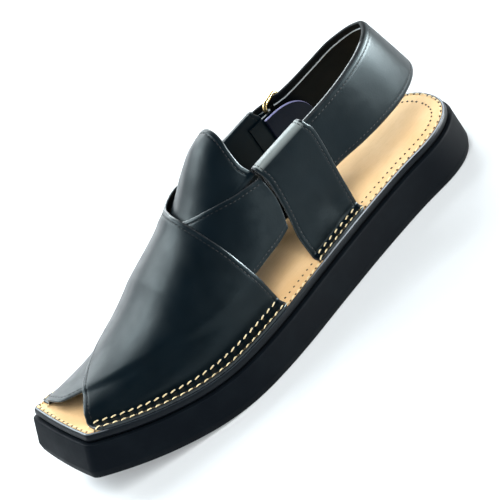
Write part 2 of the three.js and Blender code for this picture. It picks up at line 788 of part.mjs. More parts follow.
// The chape: a strip round the front bar, with a leg on each side of the tab and a slot for the
// prong.
function buckleChape() {
  const end = frontBar.x + chapeLeg;
  const seat = frontBar.x + rod + 3 * clearance + prongWidth;
  const outerLeg = (x) => -(tabWallPlace(x, -1, barShare) + tabWall + 3 * clearance);
  const innerLeg = -(tabTopPlace - liningGap - tabWall - clearance);
  const path = [[end, outerLeg(end)], [(end + seat) / 2, outerLeg((end + seat) / 2)], [seat, outerLeg(seat)]];
  for (const degrees of [90, 130, 180, 230, 270]) {
    const turn = THREE.MathUtils.degToRad(degrees);
    const radius = rod / 2 + clearance;
    path.push([frontBar.x + radius * Math.cos(turn), frontBar.y - radius * Math.sin(turn)]);
  }
  path.push([seat, innerLeg], [end, innerLeg]);
  const body = strip(path, chapeWall, (i, level) => barHeight + chapeHeight * (level - 0.5));
  const slot = slotBox(frontBar.x, slotLength);
  return fromSolid(toSolid(body).subtract(toSolid(slot)));
}

// The guard: a flap with a rounded end between the foot and the buckle. Its stops lie closer
// together towards the end, and the last one stays a little short of it.
function buckleGuard() {
  const steps = 12;
  const lastStop = 0.995;
  const crowding = 1.6;
  const front = frontBar.x + guardLap;
  const place = -(barPlace - rod / 2 - prongWidth - 2 * clearance - guardThickness);
  const path = [];
  for (let k = 0; k <= steps; k += 1) {
    const share = 1 - (1 - k / steps) ** crowding;
    path.push([front - guardLength * share * lastStop, place]);
  }
  return strip(path, guardThickness, (i, level) => {
    const share = (front - path[i][0]) / guardLength;
    const half = (guardHeight / 2) * Math.pow(1 - share ** guardRound, 1 / guardTip);
    return barHeight - guardDrop + half * (2 * level - 1);
  });
}

const group = new THREE.Group();

function add(name, geometry, colour, roughness, metalness = 0) {
  const material = new THREE.MeshStandardMaterial({ color: colour, roughness, metalness });
  geometry.computeVertexNormals();
  const mesh = new THREE.Mesh(geometry, material);
  mesh.name = name;
  group.add(mesh);
}

const leather = 0x16191c;
const rubber = 0x141618;
const tan = 0xd9ab7c;
const brass = 0xc79a4a;

const weltBottom = (x) => outsoleThickness(x) + clearance;
const bedDepth = insoleThickness + clearance;
const insoleInset = weltInset + rimWidth + clearance;

add("outsole", plate([
  { inset: bevelInset, height: () => 0 },
  { inset: 0, height: () => bevelHeight },
  { inset: 0, height: outsoleThickness },
]), rubber, 0.8);
add("midsole", plate([
  { inset: weltInset + weltEdge, height: weltBottom },
  { inset: weltInset, height: (x) => weltBottom(x) + weltEdge },
  { inset: weltInset, height: (x) => insoleTop(x) - weltEdge },
  { inset: weltInset + weltEdge, height: insoleTop },
  { inset: weltInset + rimWidth, height: insoleTop },
  { inset: weltInset + rimWidth, height: (x) => insoleTop(x) - bedDepth },
]), rubber, 0.35);
add("insole", plate([
  { inset: insoleInset, height: (x) => insoleTop(x) - insoleThickness },
  { inset: insoleInset, height: insoleTop },
]), tan, 0.6);
add("upper", upper(), leather, 0.4);
add("tongue", tongue(), leather, 0.4);
add("tab_medial", tab(1, tabHeightMedial, strapThickness + 2 * strapPlay), leather, 0.4);
add("tab_lateral", tab(-1, tabHeightLateral, liningGap), leather, 0.4);
add("heel_strap", heelStrap(), leather, 0.4);
add("buckle_frame", buckleFrame(), brass, 0.3, 1);
add("buckle_prong", buckleProng(), brass, 0.3, 1);
add("buckle_chape", buckleChape(), leather, 0.4);
add("buckle_guard", buckleGuard(), leather, 0.4);

// The origin goes to the middle of the footprint.
const footprint = new THREE.Box3().setFromObject(group, true);
const centre = footprint.getCenter(new THREE.Vector3());
group.position.set(-centre.x, -centre.y, -footprint.min.z);

export default group;
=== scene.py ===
"""The finished look of a black peshawari chappal, the right shoe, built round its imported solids.

Lengths are millimetres along the shoe's own axis until a mesh is made: x from the heel to the toe
with 0 at the middle of the sole, y to the inner side, z up from the floor. The meshes themselves
are in metres in the shared frame.
"""

from __future__ import annotations

import logging
from collections.abc import Callable
from dataclasses import dataclass, field
from enum import Enum, IntEnum

import bpy
import numpy as np
from mathutils import Matrix, Vector
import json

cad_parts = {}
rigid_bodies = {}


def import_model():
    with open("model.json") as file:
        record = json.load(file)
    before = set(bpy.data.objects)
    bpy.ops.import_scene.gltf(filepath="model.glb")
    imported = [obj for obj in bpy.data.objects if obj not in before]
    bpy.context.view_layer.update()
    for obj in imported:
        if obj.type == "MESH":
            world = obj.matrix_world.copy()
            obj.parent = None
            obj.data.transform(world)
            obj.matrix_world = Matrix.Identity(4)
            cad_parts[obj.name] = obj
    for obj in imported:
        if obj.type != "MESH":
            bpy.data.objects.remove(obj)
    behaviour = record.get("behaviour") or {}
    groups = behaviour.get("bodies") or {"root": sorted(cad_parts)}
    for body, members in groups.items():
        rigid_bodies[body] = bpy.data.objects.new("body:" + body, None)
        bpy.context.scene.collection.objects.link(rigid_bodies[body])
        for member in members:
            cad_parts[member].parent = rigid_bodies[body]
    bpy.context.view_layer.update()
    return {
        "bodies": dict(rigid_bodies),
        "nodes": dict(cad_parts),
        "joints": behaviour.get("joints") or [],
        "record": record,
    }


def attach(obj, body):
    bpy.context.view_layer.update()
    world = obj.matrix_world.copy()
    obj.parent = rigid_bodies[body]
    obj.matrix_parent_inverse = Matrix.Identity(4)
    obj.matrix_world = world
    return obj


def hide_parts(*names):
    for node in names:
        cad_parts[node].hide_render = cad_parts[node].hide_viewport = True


log = logging.getLogger("chappal")
Array = np.ndarray
Colour = tuple[float, float, float]
Place = tuple[float, float, float]
Height = Callable[[Array], Array]
Pair = tuple[float, float]

# Half widths of the sole: along, then shares of half the heel, ball (inner, outer) and toe widths
OUTLINE = np.array([
    (0.0, 1.0, 0.0, 0.0, 0.0),
    (0.155, 1.0, 0.0, 0.0, 0.0),
    (0.293, 0.6, 0.336, 0.344, 0.0),
    (0.431, 0.25, 0.693, 0.7, 0.0),
    (0.552, 0.0, 0.98, 0.954, 0.0),
    (0.655, 0.0, 1.028, 0.972, 0.0),
    (0.741, 0.0, 0.98, 0.924, 0.0),
    (0.845, 0.0, 0.62, 0.592, 0.387),
    (0.914, 0.0, 0.33, 0.36, 0.7),
    (1.0, 0.0, 0.0, 0.075, 1.0),
])

# Share of the way from the ball to the heel thickness of the outsole
WEDGE = np.array([(0.0, 1.0), (0.362, 0.4), (0.707, 0.0), (1.0, 0.0)])

# Height of the last's ridge as a share of the instep height
RIDGE = np.array([
    (0.397, 1.015), (0.452, 0.963), (0.49, 0.878), (0.528, 0.766), (0.562, 0.68), (0.603, 0.617),
    (0.662, 0.535), (0.741, 0.415), (0.81, 0.317), (0.872, 0.235), (0.941, 0.146), (0.983, 0.095),
    (1.0, 0.08),
])

# Edges of the panels: along, then degrees round the last from its ridge
MEDIAL_REAR = np.array([
    (0.537, 90), (0.541, 82), (0.549, 68), (0.556, 50), (0.562, 28), (0.561, 6), (0.555, -8),
    (0.546, -20), (0.512, -35), (0.474, -45.7), (0.443, -50.6), (0.418, -53.1),
])
MEDIAL_FRONT = np.array([
    (0.972, 90), (0.969, 61), (0.956, 33), (0.936, 10.4), (0.909, -5.7), (0.873, -20),
    (0.822, -37), (0.717, -54), (0.634, -65), (0.548, -73), (0.509, -75.3), (0.465, -77),
    (0.436, -76.7),
])
LATERAL_REAR = np.array([
    (0.537, 90), (0.547, 76), (0.558, 57), (0.567, 38), (0.572, 20), (0.57, 4), (0.56, -10),
    (0.516, -32.4), (0.474, -45.7), (0.443, -50.6), (0.418, -53.1),
])
LATERAL_FRONT = np.array([
    (0.97, 90), (0.982, 50), (0.982, 24), (0.974, 6.5), (0.959, -1.8), (0.941, -10),
    (0.895, -25), (0.822, -40), (0.717, -54), (0.634, -65), (0.548, -73), (0.509, -75.3),
    (0.465, -77), (0.436, -76.7),
])
PANEL_END = np.array([(0.418, -53.1), (0.419, -65), (0.436, -76.7)])

# Shallow dishes of the insole: place, length, width, share of the depth
DISHES = ((-100, 30, 21, 1.0), (42, 34, 30, 0.8))

# Hollows that the seam pulls into a panel's foot: place, width, height
SEAM_PULLS = ((22, 9, -0.35), (42, 11, 0.25), (66, 10, -0.3), (88, 9, 0.2), (108, 8, -0.25))

# Rear edge of the tongue: degrees from the ridge, share of its reach behind the panels
TONGUE_REAR = np.array([(0, 1.0), (10, 0.99), (20, 0.97), (30, 0.93), (40, 0.91), (50, 0.98)])

# Side edges of a tab: share of its height, then front and rear edge along the sole
TAB_EDGES = np.array([
    (0.0, 0.43, 0.294), (0.2, 0.429, 0.291), (0.42, 0.421, 0.288), (0.65, 0.413, 0.283),
    (0.84, 0.409, 0.281), (1.0, 0.416, 0.293),
])

# Dents low in a tab's wall: share from rear to front, width, height
DENTS = ((0.66, 0.2, 0.4), (0.3, 0.16, -0.7))

# Heel strap: along, out (of half the heel width), top, width, lean
STRAP = np.array([
    (0.405, 0.72, 0.97, 0.94, 0.0), (0.33, 0.725, 0.985, 0.94, 0.0),
    (0.27, 0.73, 1.0, 0.94, 0.02), (0.21, 0.775, 1.015, 0.96, 0.1),
    (0.15, 0.745, 1.035, 1.0, 0.16), (0.089, 0.625, 1.06, 1.05, 0.21),
    (0.039, 0.375, 1.08, 1.08, 0.25), (0.012, 0.0, 1.09, 1.11, 0.28),
    (0.034, -0.385, 1.065, 1.07, 0.25), (0.089, -0.64, 1.015, 0.99, 0.18),
    (0.15, -0.745, 0.945, 0.88, 0.12), (0.2, -0.785, 0.895, 0.77, 0.05),
    (0.22, -0.815, 0.878, 0.73, 0.02), (0.243, -0.87, 0.87, 0.71, 0.0),
    (0.27, -0.945, 0.863, 0.7, 0.0), (0.3, -0.975, 0.86, 0.7, 0.0),
    (0.35, -0.98, 0.855, 0.69, 0.0), (0.385, -0.98, 0.84, 0.62, 0.0),
    (0.4, -0.98, 0.78, 0.4, 0.0),
])
BUCKLE_ROW = 13


class Side(Enum):
    """The two sides of the foot, by the sign of y."""

    MEDIAL = 1
    LATERAL = -1


class Zone(IntEnum):
    """The finish numbers of a shell's faces."""

    FACE = 0
    RIM = 1
    BACK = 2


# Shape helpers


def monotone(keys: Array, values: Array, at: Array) -> Array:
    """Smooth monotone curve through table rows (cubic pieces whose slopes are harmonic means).

    Args:
        keys: the rows' places, rising or falling.
        values: the rows' values.
        at: where the curve is wanted.

    Returns:
        The curve's values, shaped like at.
    """
    if keys[0] > keys[-1]:
        keys, values = keys[::-1], values[::-1]
    at = np.clip(np.asarray(at, float), keys[0], keys[-1])
    slope = np.diff(values) / np.diff(keys)
    before, after = slope[:-1], slope[1:]
    product = before * after
    total = np.where(product > 0, before + after, 1.0)
    inner = np.where(product > 0, 2 * product / total, 0.0)
    tangent = np.concatenate([slope[:1], inner, slope[-1:]])
    k = np.clip(np.searchsorted(keys, at, side="left") - 1, 0, len(keys) - 2)
    span = keys[k + 1] - keys[k]
    t = (at - keys[k]) / span
    a, b = values[k], values[k + 1]
    ma, mb = tangent[k] * span, tangent[k + 1] * span
    return a + t * (ma + t * (3 * (b - a) - 2 * ma - mb + t * (2 * (a - b) + ma + mb)))


def smooth_step(t: Array) -> Array:
    """The curve 3t^2 - 2t^3 between 0 and 1, flat outside."""
    u = np.clip(t, 0, 1)
    return u * u * (3 - 2 * u)


def bell(distance: Array, width: float) -> Array:
    """The bell curve exp(-(distance / width)^2)."""
    return np.exp(-((distance / width) ** 2))


def unit(vectors: Array) -> Array:
    """The vectors at length 1, along their last axis."""
    return vectors / np.maximum(np.linalg.norm(vectors, axis=-1, keepdims=True), 1e-9)


def travel(points: Array, axis: int = 0) -> Array:
    """Distance covered along an axis of a grid of points, starting at 0."""
    steps = np.linalg.norm(np.diff(points, axis=axis), axis=-1)
    start = np.zeros_like(np.take(steps, [0], axis=axis))
    return np.concatenate([start, np.cumsum(steps, axis=axis)], axis=axis)


class Curve:
    """A centripetal Catmull-Rom curve: cubic pieces whose knots are the square roots of the chords."""

    def __init__(self, points: Array) -> None:
        """Works out the cubic of each piece from its four nearest points."""
        p = np.asarray(points, float)
        p = np.vstack([2 * p[0] - p[1], p, 2 * p[-1] - p[-2]])
        knot = np.maximum(np.sqrt(np.linalg.norm(np.diff(p, axis=0), axis=1)), 1e-4)[:, None]
        p0, p1, p2, p3 = p[:-3], p[1:-2], p[2:-1], p[3:]
        k0, k1, k2 = knot[:-2], knot[1:-1], knot[2:]
        m1 = k1 * ((p1 - p0) / k0 - (p2 - p0) / (k0 + k1) + (p2 - p1) / k1)
        m2 = k1 * ((p2 - p1) / k1 - (p3 - p1) / (k1 + k2) + (p3 - p2) / k2)
        self.terms = (p1, m1, 3 * (p2 - p1) - 2 * m1 - m2, 2 * (p1 - p2) + m1 + m2)
        self.pieces = len(p1)
        self.lengths = travel(self.at(np.linspace(0, 1, 801)))

    def _local(self, share: Array) -> tuple[Array, Array]:
        """The piece that a share of the curve lies in, and the place in that piece."""
        place = np.clip(np.asarray(share, float), 0, 1) * self.pieces
        piece = np.minimum(place.astype(int), self.pieces - 1)
        return piece, (place - piece)[..., None]

    def at(self, share: Array) -> Array:
        """Points at shares of the number of pieces."""
        k, w = self._local(share)
        a, b, c, d = self.terms
        return a[k] + w * (b[k] + w * (c[k] + w * d[k]))

    def tangent(self, share: Array) -> Array:
        """Directions of travel at shares of the number of pieces."""
        k, w = self._local(share)
        _, b, c, d = self.terms
        return unit(b[k] + w * (2 * c[k] + w * 3 * d[k]))

    def at_length(self, share: Array) -> Array:
        """Points at shares of the curve's length."""
        wanted = np.asarray(share, float) * self.lengths[-1]
        return self.at(np.interp(wanted, self.lengths, np.linspace(0, 1, len(self.lengths))))


@dataclass(frozen=True)
class Last:
    """The form that the sole, the panels and the tongue are made to."""

    length: float = 290.0
    ball_width: float = 108.2
    heel_width: float = 73.0
    toe_width: float = 59.4
    heel_round: float = 40.0
    heel_fullness: float = 2.3
    toe_corner: float = 3.8
    toe_bulge: float = 1.2
    outsole_heel: float = 23.1
    outsole_ball: float = 19.3
    toe_spring: float = 20.9
    spring_length: float = 93.0
    gap: float = 0.3
    band_height: float = 5.1
    band_inset: float = 1.6
    flange_margin: float = 1.0
    flange_width: float = 10.4
    foot_radius: float = 3.0
    instep: float = 82.0
    fullness_medial: float = 2.22
    fullness_lateral: float = 1.94
    shift: tuple[float, float, float] = (0.239, -1.482, 0.0)

    def share(self, x: Array) -> Array:
        """Share of the sole's length at a place."""
        return np.asarray(x, float) / self.length + 0.5

    def place(self, along: Array) -> Array:
        """Place of a share of the sole's length."""
        return (np.asarray(along, float) - 0.5) * self.length

    def half_width(self, x: Array, side: Array) -> Array:
        """Half width of the sole: heel, ball and toe widths mixed by the outline table.

        Args:
            x: places along the sole.
            side: above 0 for the inner side.

        Returns:
            The distances from the axis.
        """
        along = self.share(x)
        keys = OUTLINE[:, 0]
        heel = monotone(keys, OUTLINE[:, 1], along) * self.heel_width
        inner = monotone(keys, OUTLINE[:, 2], along)
        outer = monotone(keys, OUTLINE[:, 3], along)
        toe = monotone(keys, OUTLINE[:, 4], along) * self.toe_width
        return (heel + np.where(np.asarray(side) > 0, inner, outer) * self.ball_width + toe) / 2

    def thickness(self, x: Array) -> Array:
        """Thickness of the outsole, thicker under the heel."""
        wedge = monotone(WEDGE[:, 0], WEDGE[:, 1], self.share(x))
        return self.outsole_ball + (self.outsole_heel - self.outsole_ball) * wedge

    def bed(self, x: Array) -> Array:
        """Height of the insole's top, before the toe is bent up."""
        return self.thickness(x) + self.gap + self.band_height

    def sprung(self, x: Array, y: Array, z: Array) -> Array:
        """Bends flat places up ahead of the ball along a parabola, thickness square to its bottom.

        Args:
            x: places along the flat sole.
            y: places across.
            z: heights over the flat sole's bottom.

        Returns:
            The points of the bent shoe.
        """
        x, y, z = np.broadcast_arrays(*(np.asarray(v, float) for v in (x, y, z)))
        u = np.maximum(x - (self.length / 2 - self.spring_length), 0) / self.spring_length
        tilt = np.arctan(2 * self.toe_spring * u / self.spring_length)
        up = self.toe_spring * u * u + z * np.cos(tilt)
        return np.stack([x - z * np.sin(tilt), y, up], axis=-1)

    def section(self, x: Array, turn: Array) -> Array:
        """Skin of the last: a superellipse from the ridge to the wall's foot, a fillet, a flange.

        Args:
            x: places along the sole.
            turn: degrees round the last, past 90 millimetres along fillet and flange.

        Returns:
            The points.
        """
        x, turn = np.broadcast_arrays(np.asarray(x, float), np.asarray(turn, float))
        side = np.where(turn < 0, -1, 1)
        power = 2 / np.where(side > 0, self.fullness_medial, self.fullness_lateral)
        margin = self.band_inset + self.flange_margin + self.flange_width
        base = self.half_width(x, side) - margin
        ridge = self.instep * monotone(RIDGE[:, 0], RIDGE[:, 1], self.share(x))
        angle = np.radians(np.minimum(np.abs(turn), 90))
        foot = np.maximum(np.abs(turn) - 90, 0)
        fold = np.minimum(foot / self.foot_radius, np.pi / 2)
        flat = np.maximum(foot - self.foot_radius * np.pi / 2, 0)
        r = self.foot_radius
        out = base * np.sin(angle) ** power + r * (1 - np.cos(fold)) + flat
        rise = np.maximum(np.cos(angle), 0) ** power
        up = r * (1 - np.sin(fold)) + (ridge - r) * rise
        return self.sprung(x, side * out, self.bed(x) + self.gap + up)

    def skin(self, x: Array, turn: Array, lift: Array = 0.0) -> tuple[Array, Array]:
        """Points lifted square to the last's skin, and the way that they are lifted.

        Args:
            x: places along the sole.
            turn: degrees round the last.
            lift: distance from the skin.

        Returns:
            Points and unit normals.
        """
        reach = 0.5
        point = self.section(x, turn)
        ahead = self.section(x + reach, turn) - self.section(x - reach, turn)
        around = self.section(x, turn + reach) - self.section(x, turn - reach)
        normal = unit(np.cross(ahead, around))
        return point + normal * np.asarray(lift, float)[..., None], normal

    def outline(self) -> tuple[Array, Array]:
        """Plan of the outsole from heel to toe: a rounded heel, table widths, a square toe.

        Returns:
            Matching rows (x, y) of the inner and of the outer side.
        """
        turn = 0.02 + (np.pi / 2 - 0.02) * np.linspace(0, 1, 30)
        ahead = np.maximum(np.cos(turn), 0) ** (2 / self.heel_fullness)
        round_off = np.sin(turn) ** (2 / self.heel_fullness)
        start = -self.length / 2
        heel_x = start + self.heel_round * (1 - ahead)
        body_x = np.linspace(start + self.heel_round, self.length / 2 - self.toe_corner, 150)[1:]
        bend = np.linspace(0, np.pi / 2, 8)[1:]
        corner_x = body_x[-1] + self.toe_corner * np.sin(bend)
        pull = self.toe_corner * (1 - np.cos(bend))
        front = np.linspace(1, 0.02, 14)[1:]
        sides = []
        for side in (1, -1):
            heel = self.half_width(heel_x, side) * round_off
            body = self.half_width(body_x, side)
            corner = self.half_width(corner_x, side) - pull
            end = corner[-1] * front
            bulge = self.length / 2 + self.toe_bulge * (1 - front**2)
            x = np.concatenate([heel_x, body_x, corner_x, bulge])
            y = side * np.concatenate([heel, body, corner, end])
            sides.append(np.stack([x, y], axis=1))
        return sides[0], sides[1]

    def inset(self, distance: float) -> tuple[Array, Array]:
        """The outline moved inwards square to itself, as matching inner and outer rows."""
        inner, outer = self.outline()
        ring = np.concatenate([inner, outer[::-1]])
        ahead = unit(ring - np.roll(ring, 1, axis=0)) + unit(np.roll(ring, -1, axis=0) - ring)
        ahead = unit(ahead)
        moved = ring + np.stack([ahead[:, 1], -ahead[:, 0]], axis=1) * distance
        n = len(inner)
        return moved[:n], moved[n:][::-1]


# Mesh helpers


@dataclass
class Shell:
    """Points, quads and a finish number and edge value for each, before they become a mesh."""

    points: Array
    quads: Array
    finish: Array
    edge: Array

    @staticmethod
    def joined(shells: list[Shell]) -> Shell:
        """Several shells as one."""
        starts = np.cumsum([0] + [len(s.points) for s in shells[:-1]])
        return Shell(
            np.concatenate([s.points for s in shells]),
            np.concatenate([s.quads + start for s, start in zip(shells, starts)]),
            np.concatenate([s.finish for s in shells]),
            np.concatenate([s.edge for s in shells]),
        )


def grid_quads(rows: int, columns: int, start: int = 0) -> Array:
    """Quads of a grid of points numbered row by row."""
    at = start + np.arange(rows * columns).reshape(rows, columns)
    corners = (at[:-1, :-1], at[1:, :-1], at[1:, 1:], at[:-1, 1:])
    return np.stack([c.ravel() for c in corners], axis=1)


def tube_quads(at: Array) -> Array:
    """Quads between closed rings of points, given as one row of point numbers for each ring."""
    following = np.roll(at, -1, axis=1)
    corners = (at[:-1], following[:-1], following[1:], at[1:])
    return np.stack([c.ravel() for c in corners], axis=1)


def plain(points: Array, quads: Array) -> Shell:
    """A closed shell of one finish, its quads turned outwards."""
    return Shell(points, outwards(points, quads), np.zeros(len(quads), int), np.zeros(len(points)))


def outwards(points: Array, quads: Array) -> Array:
    """The quads of one closed shell, all turned round if they enclose a negative volume."""
    a, b, c, d = (points[quads[:, k]] for k in range(4))
    volume = np.einsum("ij,ij->", a, np.cross(b, c)) + np.einsum("ij,ij->", a, np.cross(c, d))
    return quads if volume > 0 else quads[:, ::-1]


def leather(
    inner: Array, outer: Array, bulge: float = 0.9, steps: int = 6, back: Zone = Zone.FACE
) -> Shell:
    """A sheet with a thickness between two grids of points, its cut edge rounded all the way.

    The rim runs from the outer to the inner edge on a half ellipse: the mean of both edges, plus
    half their difference times the cosine, plus the way out of the sheet times the sine.

    Args:
        inner: grid of points of the inner face.
        outer: grid of points of the outer face.
        bulge: roundness of the rim, 0 for a flat cut.
        steps: faces across the rim.
        back: the inner face's finish number.

    Returns:
        The closed shell.
    """
    n, m = outer.shape[:2]
    count = n * m
    at = np.arange(count).reshape(n, m)
    loop = np.concatenate([at[0, :-1], at[:-1, -1], at[-1, :0:-1], at[:0:-1, 0]])
    row, column = np.divmod(loop, m)
    inside = np.clip(row, 1, n - 2) * m + np.clip(column, 1, m - 2)
    flat_in, flat_out = inner.reshape(-1, 3), outer.reshape(-1, 3)
    middle = (flat_in + flat_out) / 2
    half = (flat_out - flat_in) / 2
    away = unit(middle[loop] - middle[inside])
    size = np.linalg.norm(half[loop], axis=1, keepdims=True) * bulge
    angle = np.pi * np.arange(1, steps) / steps
    rim = (
        middle[loop][None]
        + half[loop][None] * np.cos(angle)[:, None, None]
        + (away * size)[None] * np.sin(angle)[:, None, None]
    )
    points = np.concatenate([flat_out, flat_in, rim.reshape(-1, 3)])
    between = 2 * count + np.arange((steps - 1) * len(loop)).reshape(steps - 1, -1)
    parts = [
        grid_quads(n, m),
        grid_quads(n, m, count)[:, ::-1],
        tube_quads(np.concatenate([loop[None], between, loop[None] + count])),
    ]
    quads = np.concatenate(parts)
    finish = np.repeat([Zone.FACE, back, Zone.RIM], [len(part) for part in parts])
    wear_and_sheen = np.exp(-border(outer).ravel() / 1.5)
    edge = np.concatenate([wear_and_sheen, wear_and_sheen, np.ones(len(points) - 2 * count)])
    return Shell(points, outwards(points, quads), finish, edge)


def border(grid: Array, sides: str = "nsew") -> Array:
    """Distance of each grid point from the named edges, measured along the grid lines.

    Args:
        grid: grid of points.
        sides: n for the first row, s for the last, w for the first column, e for the last.

    Returns:
        The least of the distances.
    """
    down, right = travel(grid, 0), travel(grid, 1)
    choices = {"n": down, "s": down[-1:] - down, "w": right, "e": right[:, -1:] - right}
    return np.minimum.reduce([choices[s] for s in sides])


def clustered(length: float, count: int, fine: float = 0.45, reach: float = 4.5) -> Array:
    """Shares of a length that lie close together near both of its ends."""
    near = np.arange(0, reach, fine)
    middle = np.linspace(reach, length - reach, max(count - 2 * len(near), 4))
    return np.concatenate([near, middle, length - near[::-1]]) / length


def pressed(distance: Array, inset: float, groove: Pair, edge: Pair) -> Array:
    """Depth pressed into a face: a bell-shaped groove under a seam and half a bell along the edge.

    Args:
        distance: distances from the edge.
        inset: the seam's distance from the edge.
        groove: depth and width of the groove.
        edge: depth and width of the pressed edge.

    Returns:
        The depths.
    """
    return groove[0] * bell(distance - inset, groove[1]) + edge[0] * bell(distance, edge[1])


def rings_shell(rings: list[Array]) -> Shell:
    """A closed body from rings of points, the first and last closed by ladders of cross strips.

    Args:
        rings: arrays of the same even number of points, up the inner side and back the outer one.

    Returns:
        The closed shell.
    """
    count = len(rings[0])
    points = np.concatenate(rings)
    at = np.arange(len(points)).reshape(len(rings), count)
    wall = np.roll(tube_quads(at)[:, ::-1], 1, axis=1)
    ends = ladder(count)
    return plain(points, np.concatenate([wall, ends, (ends + (len(rings) - 1) * count)[:, ::-1]]))


def ladder(count: int) -> Array:
    """Quads that close a ring of points with strips from side to side."""
    k = np.arange(count // 2 - 1)
    return np.stack([k, k + 1, count - 2 - k, count - 1 - k], axis=1)


def swept(path: Array, normal: Array, radius: Array | float, sides: int, loop: bool = False) -> Shell:
    """A round bar along a path: cosine along the normal, sine square to the normal and the path.

    Args:
        path: points of the middle line.
        normal: the normal of the path's plane, or one normal for each point.
        radius: the bar's radius, one number or one for each point.
        sides: points round the section.
        loop: whether the path closes.

    Returns:
        The closed shell.
    """
    if loop:
        ahead = unit(np.roll(path, -1, axis=0) - np.roll(path, 1, axis=0))
    else:
        ahead = unit(np.gradient(path, axis=0))
    normal = np.broadcast_to(normal, path.shape)
    aside = np.cross(ahead, normal)
    turn = 2 * np.pi * np.arange(sides) / sides
    ring = np.cos(turn)[None, :, None] * normal[:, None] + np.sin(turn)[None, :, None] * aside[:, None]
    grid = path[:, None] + ring * np.broadcast_to(radius, len(path))[:, None, None]
    n = len(path)
    at = np.arange(n * sides).reshape(n, sides)
    quads = tube_quads(np.concatenate([at, at[:1]]) if loop else at)
    if not loop:
        cap = ladder(sides)
        quads = np.concatenate([quads, cap[:, ::-1], cap + (n - 1) * sides])
    return plain(grid.reshape(-1, 3), quads)


@dataclass(frozen=True)
class Seam:
    """One row of stitches.

    Pitch, length, thread radius, height over the leather, slant in degrees, and the first
    stitch's place as a share of the pitch.
    """

    pitch: float
    length: float
    radius: float
    proud: float
    slant: float = 0.0
    phase: float = 0.5
    sides: int = 6

    def sewn(self, path: Array, normal: Array) -> Shell:
        """Stitches along a path: each a thread that rises out of the leather and dips in again.

        A stitch's middle line is straight and falls off with the fourth power of the share of its
        half length; its radius follows the square root of one minus that share's sixth power.

        Args:
            path: points of the seam on the surface.
            normal: the surface's normals there.

        Returns:
            All the stitches as one shell.
        """
        walked = travel(path)
        count = max(int(walked[-1] / self.pitch), 1)
        at = (np.arange(count) + self.phase) * walked[-1] / count
        centre = np.stack([np.interp(at, walked, path[:, k]) for k in range(3)], axis=1)
        way = unit(np.gradient(path, axis=0))
        ahead = unit(np.stack([np.interp(at, walked, way[:, k]) for k in range(3)], axis=1))
        up = np.stack([np.interp(at, walked, normal[:, k]) for k in range(3)], axis=1)
        up = unit(up - ahead * np.sum(up * ahead, axis=1, keepdims=True))
        aside = np.cross(up, ahead)
        cosine, sine = np.cos(np.radians(self.slant)), np.sin(np.radians(self.slant))
        ahead, aside = ahead * cosine + aside * sine, aside * cosine - ahead * sine
        share = np.array([-1.0, -0.86, -0.45, 0.0, 0.45, 0.86, 1.0])
        size = self.radius * np.sqrt(np.maximum(1 - share**6, 0.06))
        rise = self.proud - (self.proud + 0.9 * self.radius) * share**4
        turn = 2 * np.pi * np.arange(self.sides) / self.sides
        across = size[:, None] * np.sin(turn)
        lift = rise[:, None] + size[:, None] * np.cos(turn) * 0.8
        forth = np.repeat(share[:, None] * self.length / 2, self.sides, axis=1)
        grid = (
            centre[:, None, None]
            + ahead[:, None, None] * forth[None, ..., None]
            + aside[:, None, None] * across[None, ..., None]
            + up[:, None, None] * lift[None, ..., None]
        )
        size_of_one = len(share) * self.sides
        wall = tube_quads(np.arange(size_of_one).reshape(-1, self.sides))
        cap = ladder(self.sides)
        one = np.concatenate([wall, cap[:, ::-1], cap + size_of_one - self.sides])
        one = outwards(grid[0].reshape(-1, 3), one)
        quads = (one[None] + (np.arange(count) * size_of_one)[:, None, None]).reshape(-1, 4)
        points = grid.reshape(-1, 3)
        return Shell(points, quads, np.zeros(len(quads), int), np.zeros(len(points)))


FINE_SEAM = Seam(2.6, 2.0, 0.24, 0.03)


def line_at(points: Array, normals: Array, distance: float, side: str) -> tuple[Array, Array]:
    """The line on a grid that keeps a distance from one of its edges.

    Args:
        points: grid of points.
        normals: grid of normals.
        distance: how far from the edge.
        side: w or e for the first or last column, n or s for the first or last row.

    Returns:
        Points and normals along the line.
    """
    if side in "ns":
        points, normals = points.transpose(1, 0, 2), normals.transpose(1, 0, 2)
    if side in "es":
        points, normals = points[:, ::-1], normals[:, ::-1]
    walked = travel(points, 1)
    k = np.clip((walked < distance).sum(axis=1) - 1, 0, points.shape[1] - 2)
    row = np.arange(len(points))
    start, end = walked[row, k], walked[row, k + 1]
    t = ((distance - start) / np.maximum(end - start, 1e-6))[:, None]
    path = points[row, k] * (1 - t) + points[row, k + 1] * t
    return path, unit(normals[row, k] * (1 - t) + normals[row, k + 1] * t)


# Finishes


